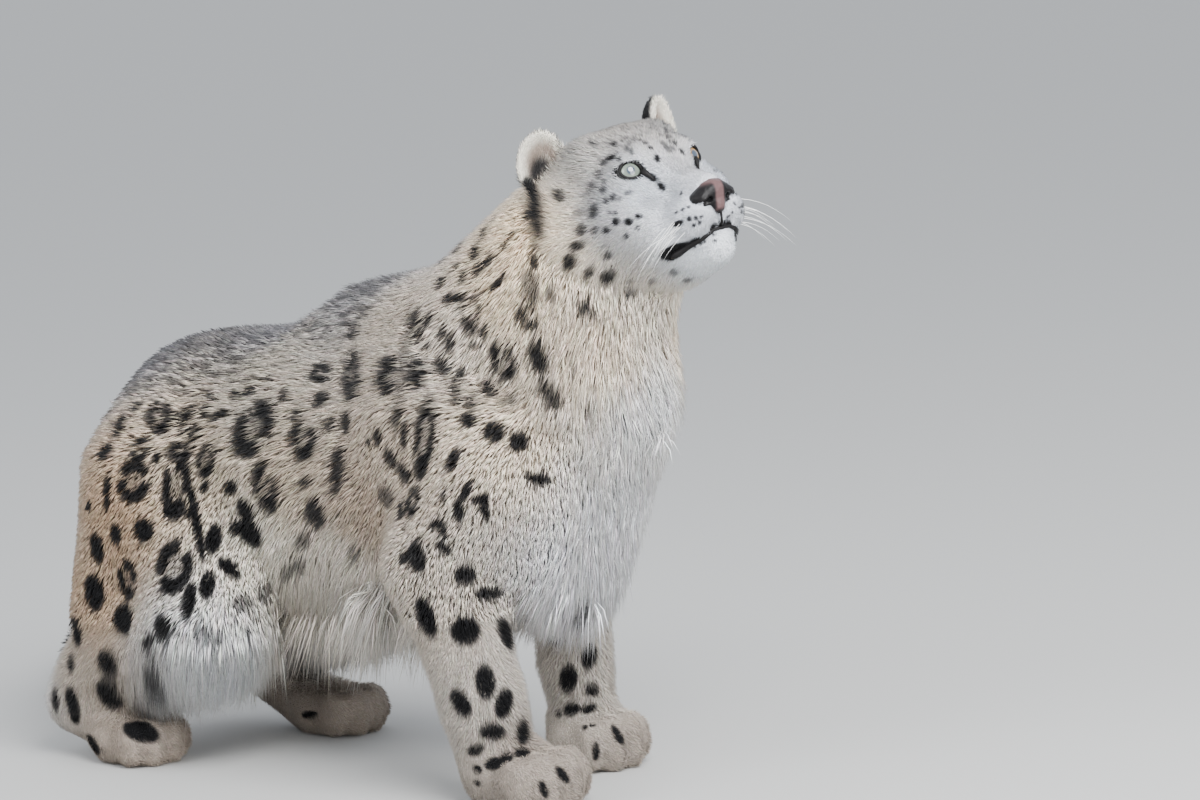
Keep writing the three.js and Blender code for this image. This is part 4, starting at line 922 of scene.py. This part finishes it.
def unwrapped(group, points):
    """Places on an unwrap of the skin's own shape: round and along each part of the body."""
    at = millimetres(points)
    h = head_frame(points)
    if group.startswith("coat_tail"):
        reach, heading, middle = along_tail(at)
        d = at - middle
        turned_by = np.arctan2(d[:, 2], (np.cross(heading, (0, 0, 1)) * d).sum(1))
        along = reach
    elif "leg" in group:
        turned_by = np.arctan2(at[:, 1] - np.median(at[:, 1]), at[:, 0] - np.median(at[:, 0]))
        along = at[:, 2]
    elif "head" in group or "ear" in group:
        turned_by = np.arctan2(h[:, 1], h[:, 2] + 40)
        along = h[:, 0]
        if "ear" in group:
            e = ear_frame(group.replace("coat_", ""), h)
            turned_by = np.arctan2(e[:, 2] + 3, e[:, 0])
            along = e[:, 1]
    else:
        turned_by = np.arctan2(at[:, 1], at[:, 2] - 360 - 0.5 * np.maximum(at[:, 0] - 100, 0))
        along = at[:, 0]
    flat = np.stack((turned_by, along), 1)
    lowest, highest = flat.min(0), flat.max(0)
    return 0.01 + 0.98 * (flat - lowest) / (highest - lowest + 1e-9)


def tufted(name, rows, material):
    """One piece of coat out of the chosen tufts."""
    mesh = bpy.data.meshes.new(name)
    number = len(rows)
    used, faces = BLADE
    if name.startswith(SHORT_COAT):
        used, faces = SPIKE
    if name.startswith(LONG_COAT):
        used, faces = STRAND
    used = list(used)
    mesh.vertices.add(number * len(used))
    mesh.vertices.foreach_set("co", blade[rows][:, used].astype(np.float32).ravel())
    pattern = np.concatenate([np.array(f) for f in faces])
    totals = np.array([len(f) for f in faces])
    loops = (pattern[None, :] + len(used) * np.arange(number)[:, None]).ravel()
    mesh.loops.add(len(loops))
    mesh.loops.foreach_set("vertex_index", loops.astype(np.int32))
    mesh.polygons.add(number * len(faces))
    first = np.concatenate(([0], np.cumsum(totals)[:-1]))
    mesh.polygons.foreach_set("loop_start", (first[None, :] + len(pattern) * np.arange(number)[:, None])
                              .ravel().astype(np.int32))
    mesh.update(calc_edges=True)
    mesh.validate()
    uv = mesh.uv_layers.new(name="OFBake")
    spot = unwrapped(name, root[rows])
    patch = spot[:, None, :] + PATCH * BLADE_PATCH[used][None, :, :]
    uv.data.foreach_set("uv", patch.reshape(-1, 2)[loops].astype(np.float32).ravel())
    piece = bpy.data.objects.new(name, mesh)
    bpy.context.scene.collection.objects.link(piece)
    tinted(piece, shades[rows][:, used].reshape(-1, 3))
    rounded(piece)
    mesh.materials.append(material)
    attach(piece, "root")


COAT_PIECES = {
    "coat_head": ("head",), "coat_neck": ("neck",), "coat_chest": ("chest",), "coat_flank": ("belly",),
    "coat_rump": ("rump",), "coat_shoulder": ("shoulder_right", "shoulder_left"),
    "coat_foreleg": ("leg_fore_right", "leg_fore_left", "paw_fore_right", "paw_fore_left"),
    "coat_thigh": ("thigh_right", "thigh_left"),
    "coat_hindleg": ("leg_hind_right", "leg_hind_left", "paw_hind_right", "paw_hind_left"),
}
hair = coat_finish("coat_hair", 0.62, 0)
is_left = root[:, 1] > place.y
head_left = head_frame(root)[:, 1] > 0
for name, parts in COAT_PIECES.items():
    rows = among(kind, parts)
    halves = head_left if name == "coat_head" else is_left
    tufted(name + "_left", np.flatnonzero(rows & halves), hair)
    tufted(name + "_right", np.flatnonzero(rows & ~halves), hair)
tufted("coat_tail", np.flatnonzero(among(kind, TAIL_PARTS)), hair)
for name in EARS:
    tufted("coat_" + name, np.flatnonzero(kind == PARTS.index(name)), hair)

# The skin is thinned where the coat hides it; the face keeps its fine surface.
group = skin.vertex_groups.new(name="body")
group.add([int(i) for i in np.flatnonzero(~face_part)], 1.0, "REPLACE")
picked(skin)
SKIN_TRIANGLES = 170000
thinner = skin.modifiers.new("thinner", "DECIMATE")
thinner.ratio = min(1, SKIN_TRIANGLES / (2 * len(skin.data.polygons)))
thinner.vertex_group = "body"
thinner.vertex_group_factor = 4
bpy.ops.object.modifier_apply(modifier=thinner.name)
rounded(skin)

# The eyes.
# Each is a ball of glass-clear tissue over a pale iris, with a round pupil, inside black-rimmed lids.
IRIS_NEAR, IRIS_FAR = (0.46, 0.50, 0.46), (0.62, 0.46, 0.24)
# The pupil is a bluish grey rather than black: its own dark with a painted reflection of the sky over it.
PUPIL_AND_REFLECTION = (0.16, 0.21, 0.27)
GAZE = {"eye_right": Vector((0.90, -0.38, 0.20)), "eye_left": Vector((0.93, 0.28, 0.22))}
eye_side = {"eye_right": -1, "eye_left": 1}
IRIS_R = 12.6
PUPIL_R = 4.4


def eye_finish(name, middle, gaze, iris):
    """A wet eye: dark pupil greyed blue by a painted reflection, streaked iris with a black rim, and
    brown-white round it.
    """
    material, nodes, links, shader = finish(name, 0.08)
    shader.inputs["Coat Weight"].default_value = 1.0
    shader.inputs["Coat Roughness"].default_value = 0.02
    where = nodes.new("ShaderNodeTexCoord")
    centre = sum_node(nodes, "ShaderNodeVectorMath", "SUBTRACT")
    centre.inputs[1].default_value = middle
    links.new(where.outputs["Object"], centre.inputs[0])
    unit = sum_node(nodes, "ShaderNodeVectorMath", "NORMALIZE")
    links.new(centre.outputs["Vector"], unit.inputs[0])
    dot = sum_node(nodes, "ShaderNodeVectorMath", "DOT_PRODUCT")
    dot.inputs[1].default_value = gaze
    links.new(unit.outputs["Vector"], dot.inputs[0])
    angle = sum_node(nodes, "ShaderNodeMath", "ARCCOSINE")
    links.new(dot.outputs["Value"], angle.inputs[0])
    fibre = nodes.new("ShaderNodeTexNoise")
    fibre.inputs["Scale"].default_value = 700
    links.new(where.outputs["Object"], fibre.inputs["Vector"])
    shift = sum_node(nodes, "ShaderNodeMath", "MULTIPLY_ADD")
    shift.inputs[1].default_value = 0.05
    links.new(fibre.outputs["Fac"], shift.inputs[0])
    links.new(angle.outputs["Value"], shift.inputs[2])
    ramp = nodes.new("ShaderNodeValToRGB")
    edge = math.asin(IRIS_R / EYE_R)
    hole = math.asin(PUPIL_R / EYE_R)
    stops = ((0.0, PUPIL_AND_REFLECTION), (hole - 0.04, PUPIL_AND_REFLECTION), (hole + 0.05, tuple(0.80 * c for c in iris)),
             (0.62 * edge, iris), (edge - 0.16, tuple(0.86 * c for c in iris)),
             (edge - 0.02, (0.05, 0.05, 0.05)), (1.0, (0.12, 0.10, 0.09)))
    ramp.color_ramp.elements.remove(ramp.color_ramp.elements[1])
    for i, (at, colour) in enumerate(stops):
        stop = ramp.color_ramp.elements[0] if i == 0 else ramp.color_ramp.elements.new(min(at, 1))
        stop.position = min(at, 1)
        stop.color = (*linear(np.array(colour)), 1)
    links.new(shift.outputs["Value"], ramp.inputs["Fac"])
    links.new(ramp.outputs["Color"], shader.inputs["Base Color"])
    return material


LID_WIDE, LID_HIGH = 16.2, 11.6
LID_R = 1.7
LID_STEPS = 40
# The lids are bare black skin, matt and finely grained.
lid_skin, lid_nodes, lid_links, lid_shader = finish("lid_skin", 0.6)
lid_shader.inputs["Specular IOR Level"].default_value = 0.2
lid_grain = lid_nodes.new("ShaderNodeTexNoise")
lid_grain.inputs["Scale"].default_value = 900
lid_ramp = lid_nodes.new("ShaderNodeValToRGB")
lid_ramp.color_ramp.elements[0].color = (0.0015, 0.0015, 0.002, 1)
lid_ramp.color_ramp.elements[1].color = (0.006, 0.005, 0.005, 1)
lid_where = lid_nodes.new("ShaderNodeTexCoord")
lid_links.new(lid_where.outputs["Object"], lid_grain.inputs["Vector"])
lid_links.new(lid_grain.outputs["Fac"], lid_ramp.inputs["Fac"])
lid_links.new(lid_ramp.outputs["Color"], lid_shader.inputs["Base Color"])


def cord_mesh(name, line, radii, material, sides=8):
    """A closed bent rod through the points of a line, its thickness given at each."""
    corners, faces = [], []
    line = [Vector(p) for p in line]
    for i, p in enumerate(line):
        ahead = (line[min(i + 1, len(line) - 1)] - line[max(i - 1, 0)]).normalized()
        out = ahead.cross(Vector((0.3, 0.2, 1))).normalized()
        other = ahead.cross(out)
        for k in range(sides):
            a = 2 * math.pi * k / sides
            corners.append(p + (out * math.cos(a) + other * math.sin(a)) * radii[i])
    for i in range(len(line) - 1):
        for k in range(sides):
            a, b = i * sides + k, i * sides + (k + 1) % sides
            faces.append((a, b, b + sides, a + sides))
    faces.append(tuple(range(sides))[::-1])
    faces.append(tuple((len(line) - 1) * sides + k for k in range(sides)))
    piece = made(name, corners, faces)
    inner = bmesh.new()
    inner.from_mesh(piece.data)
    bmesh.ops.recalc_face_normals(inner, faces=inner.faces)
    inner.to_mesh(piece.data)
    inner.free()
    piece.data.materials.append(material)
    rounded(piece)
    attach(piece, "root")
    return piece


for name, s in eye_side.items():
    middle = of_head(eye_middle(s))
    bpy.ops.object.select_all(action="DESELECT")
    bpy.ops.mesh.primitive_uv_sphere_add(segments=48, ring_count=32, radius=EYE_R / 1000, location=middle)
    ball = bpy.context.object
    ball.name = "ball_of_" + name
    gaze = (head_turn @ GAZE[name]).normalized()
    # The clear front of the eye bulges a little over the iris.
    for v in ball.data.vertices:
        v.co *= 1 + 0.075 * max(0, (v.co.normalized().dot(gaze) - 0.72) / 0.28) ** 0.8
    bpy.ops.object.transform_apply(location=True, rotation=True, scale=True)
    rounded(ball)
    ball.data.materials.append(eye_finish("glass_" + name, middle, gaze, IRIS_NEAR if s < 0 else IRIS_FAR))
    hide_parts(name)
    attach(ball, "root")
    facing = Vector((EYE_FACING.x, EYE_FACING.y * s, EYE_FACING.z))
    across = Vector((0.40, -0.90 * s, -0.17)).normalized()
    rising = facing.cross(across).normalized()
    if rising.z < 0:
        rising = -rising
    rim, thick = [], []
    for k in range(LID_STEPS + 1):
        a = 2 * math.pi * k / LID_STEPS
        x, y = math.cos(a), math.sin(a)
        y = math.copysign(abs(y) ** 1.25, y)
        reach_out = LID_WIDE * x + (4.0 if x > 0 else 0) * max(0, x) ** 3
        reach_up = (LID_HIGH if y > 0 else LID_HIGH * 0.88) * y + 1.5 - 3.0 * max(0, x) ** 2
        d = facing * EYE_R + across * reach_out * 0.86 + rising * reach_up * 0.92
        p = d.normalized() * (EYE_R + 1.3 + 1.0 * max(0, y))
        rim.append(of_head(eye_middle(s) + p))
        thick.append((LID_R + 0.7 * max(0, y) + 0.8 * max(0, x) ** 2) / 1000)
    cord_mesh("lids_of_" + name, rim, thick, lid_skin)

# A black line runs from the inner corner of each eye down towards the nose.
TEAR_SEEN = ((643, 171), (645, 172.3), (647.5, 174), (650, 175.7), (652.5, 177.8), (655, 180.5))
TEAR_R = (0.0036, 0.0038, 0.0034, 0.0026, 0.0017, 0.0007)
tear = []
for across, below in TEAR_SEEN:
    on = body_tree.ray_cast(camera_at, ray_of(across, below))[0]
    tear.append(to_head(on) - Vector((0.6, 0, 0)))
for s, name in ((-1, "tear_line_right"), (1, "tear_line_left")):
    cord_mesh(name, [of_head(Vector((p.x, p.y * -s, p.z))) for p in tear], TEAR_R, lid_skin)

# The nose.
# Bare leather over the front of the muzzle, pink-brown in the middle and black at the wings; the nostrils are
# painted black as painted shade inside the openings.
NOSE_CELL = 0.0009
NOSE_ROUNDS = 6
nose_corners, nose_faces, _ = gathered(("nose",), 0.0002)
nose = made("nose_leather", nose_corners, nose_faces)
remeshed(nose, NOSE_CELL)
nose_co, _, nose_edges = read(nose)
for _ in range(NOSE_ROUNDS):
    nose_co = nose_co + 0.5 * (averaged(nose_co, nose_edges) - nose_co)
    nose_co = nose_co - 0.5 * (averaged(nose_co, nose_edges) - nose_co)
write(nose, nose_co)
nh = head_frame(nose_co)
wings = fade(np.abs(nh[:, 1]), 4, 7.5) * fade(-nh[:, 2], 27, 34)
slot_dark = fade(-nh[:, 2], 56, 62)
# The nostril openings are painted black, as painted shade inside them.
nostril_shade = np.clip(fade(-np.hypot(np.abs(nh[:, 1]) - 12, (nh[:, 2] + 46) * 1.3), -7, -3), 0, 1)
nose_dark = np.clip(np.maximum(np.maximum(0.92 * wings, 0.8 * slot_dark), nostril_shade), 0, 1)[:, None]
NOSE_PINK = np.array((0.33, 0.25, 0.25))
NOSE_BLACK = np.array((0.03, 0.03, 0.035))
tinted(nose, NOSE_PINK * (1 - nose_dark) + NOSE_BLACK * nose_dark)
leather = coat_finish("nose_skin", 0.42, 0.5)
nose.data.materials.clear()
nose.data.materials.append(leather)
rounded(nose)
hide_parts("nose")
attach(nose, "root")

# The lips.
# A black roll of bare skin along the line of the mouth, thicker towards each corner.
lip_line, lip_thick = [], []
LIP_STEPS = 28
for k in range(LIP_STEPS + 1):
    step_on = k / LIP_STEPS * (len(MOUTH) - 1)
    i = min(int(step_on), len(MOUTH) - 2)
    p = Vector(MOUTH[i]).lerp(Vector(MOUTH[i + 1]), step_on - i)
    outward = of_head(Vector((p.x + 30, p.y * 1.5, p.z - 4)))
    inward = of_head(Vector((10, p.y * 0.4, p.z - 2)))
    hit = body_tree.ray_cast(outward, (inward - outward).normalized())
    point = hit[0] if hit[0] is not None else of_head(p)
    lip_line.append(point + (inward - outward).normalized() * 0.0018)
    end = abs(k / LIP_STEPS - 0.5) * 2
    lip_thick.append((1.9 + 2.5 * end - 2.4 * max(0, end - 0.85) / 0.15) / 1000)
cord_mesh("lips", lip_line, lip_thick, lid_skin)

# A thin black furrow joins the nose to the middle of the upper lip.
PHILTRUM = ((84.5, 0, -58), (84, 0, -63), (83, 0, -68), (81, 0, -73), (78, 0, -76))
PHILTRUM_R = (0.0012, 0.0014, 0.0014, 0.0016, 0.0018)
cord_mesh("philtrum", [of_head(Vector(p)) for p in PHILTRUM], PHILTRUM_R, lid_skin)

# The whiskers.
# Long white bristles from the pads of the upper lip, each tapering to its tip and bending a little down.
WHISKER_ROOTS = ((66, 27, -50), (62, 32, -55), (66, 26, -58), (60, 34, -62), (66, 24, -65), (58, 35, -69),
                 (52, 38, -60), (52, 40, -67), (70, 20, -60), (48, 41, -74), (70, 18, -68), (56, 34, -75))
WHISKER_STEPS = 8
whisker_hair = coat_finish("whisker_hair", 0.4, 0)
whisker_parts = []
for s in (-1, 1):
    for x, y, z in WHISKER_ROOTS:
        out = Vector((draw.uniform(0.15, 0.55), s * 1.0, draw.uniform(-0.35, 0.05))).normalized()
        begin = Vector((x - 12, s * (y - 10), z))
        reach = draw.uniform(48, 82)
        line, radii = [], []
        for k in range(WHISKER_STEPS + 1):
            part_way = k / WHISKER_STEPS
            bend = Vector((-0.30, 0, -0.42)) * reach * part_way * part_way
            line.append(of_head(begin + out * (10 + reach * part_way) + bend))
            radii.append((0.30 * (1 - part_way) + 0.06) / 1000)
        whisker_parts.append(cord_mesh("whisker", line, radii, whisker_hair, sides=4))
bpy.ops.object.select_all(action="DESELECT")
for part in whisker_parts:
    part.select_set(True)
bpy.context.view_layer.objects.active = whisker_parts[0]
bpy.ops.object.join()
whiskers = bpy.context.object
whiskers.name = "whiskers"
tinted(whiskers, np.tile((0.93, 0.93, 0.92), (len(whiskers.data.vertices), 1)))

# The floor and light.
# A plain pale floor under a soft, even daylight, as in a studio.
bpy.ops.object.select_all(action="DESELECT")
bpy.ops.mesh.primitive_plane_add(size=40, location=(0, 0, 0))
floor = bpy.context.object
floor.name = "floor"
floor_finish, _, _, floor_shader = finish("floor_finish", 0.9)
floor_shader.inputs["Base Color"].default_value = (0.42, 0.42, 0.41, 1)
floor.data.materials.append(floor_finish)


def lamp(name, at, aim, size, power):
    light = bpy.data.lights.new(name, "AREA")
    light.shape = "DISK"
    light.size = size
    light.energy = power
    piece = bpy.data.objects.new(name, light)
    bpy.context.scene.collection.objects.link(piece)
    piece.location = at
    piece.rotation_euler = (Vector(aim) - Vector(at)).to_track_quat("-Z", "Y").to_euler()


lamp("key", (3.2, -1.4, 3.0), (0.1, 0, 0.4), 2.6, 360)
lamp("front", (3.4, -0.9, 1.1), (0.3, 0, 0.5), 2.0, 80)
lamp("fill", (-0.5, -3.6, 2.0), (0, 0, 0.4), 2.4, 80)
world = bpy.data.worlds.new("daylight")
world.use_nodes = True
world.node_tree.nodes["Background"].inputs["Color"].default_value = (0.89, 0.93, 1.0, 1)
world.node_tree.nodes["Background"].inputs["Strength"].default_value = 1.35
bpy.context.scene.world = world
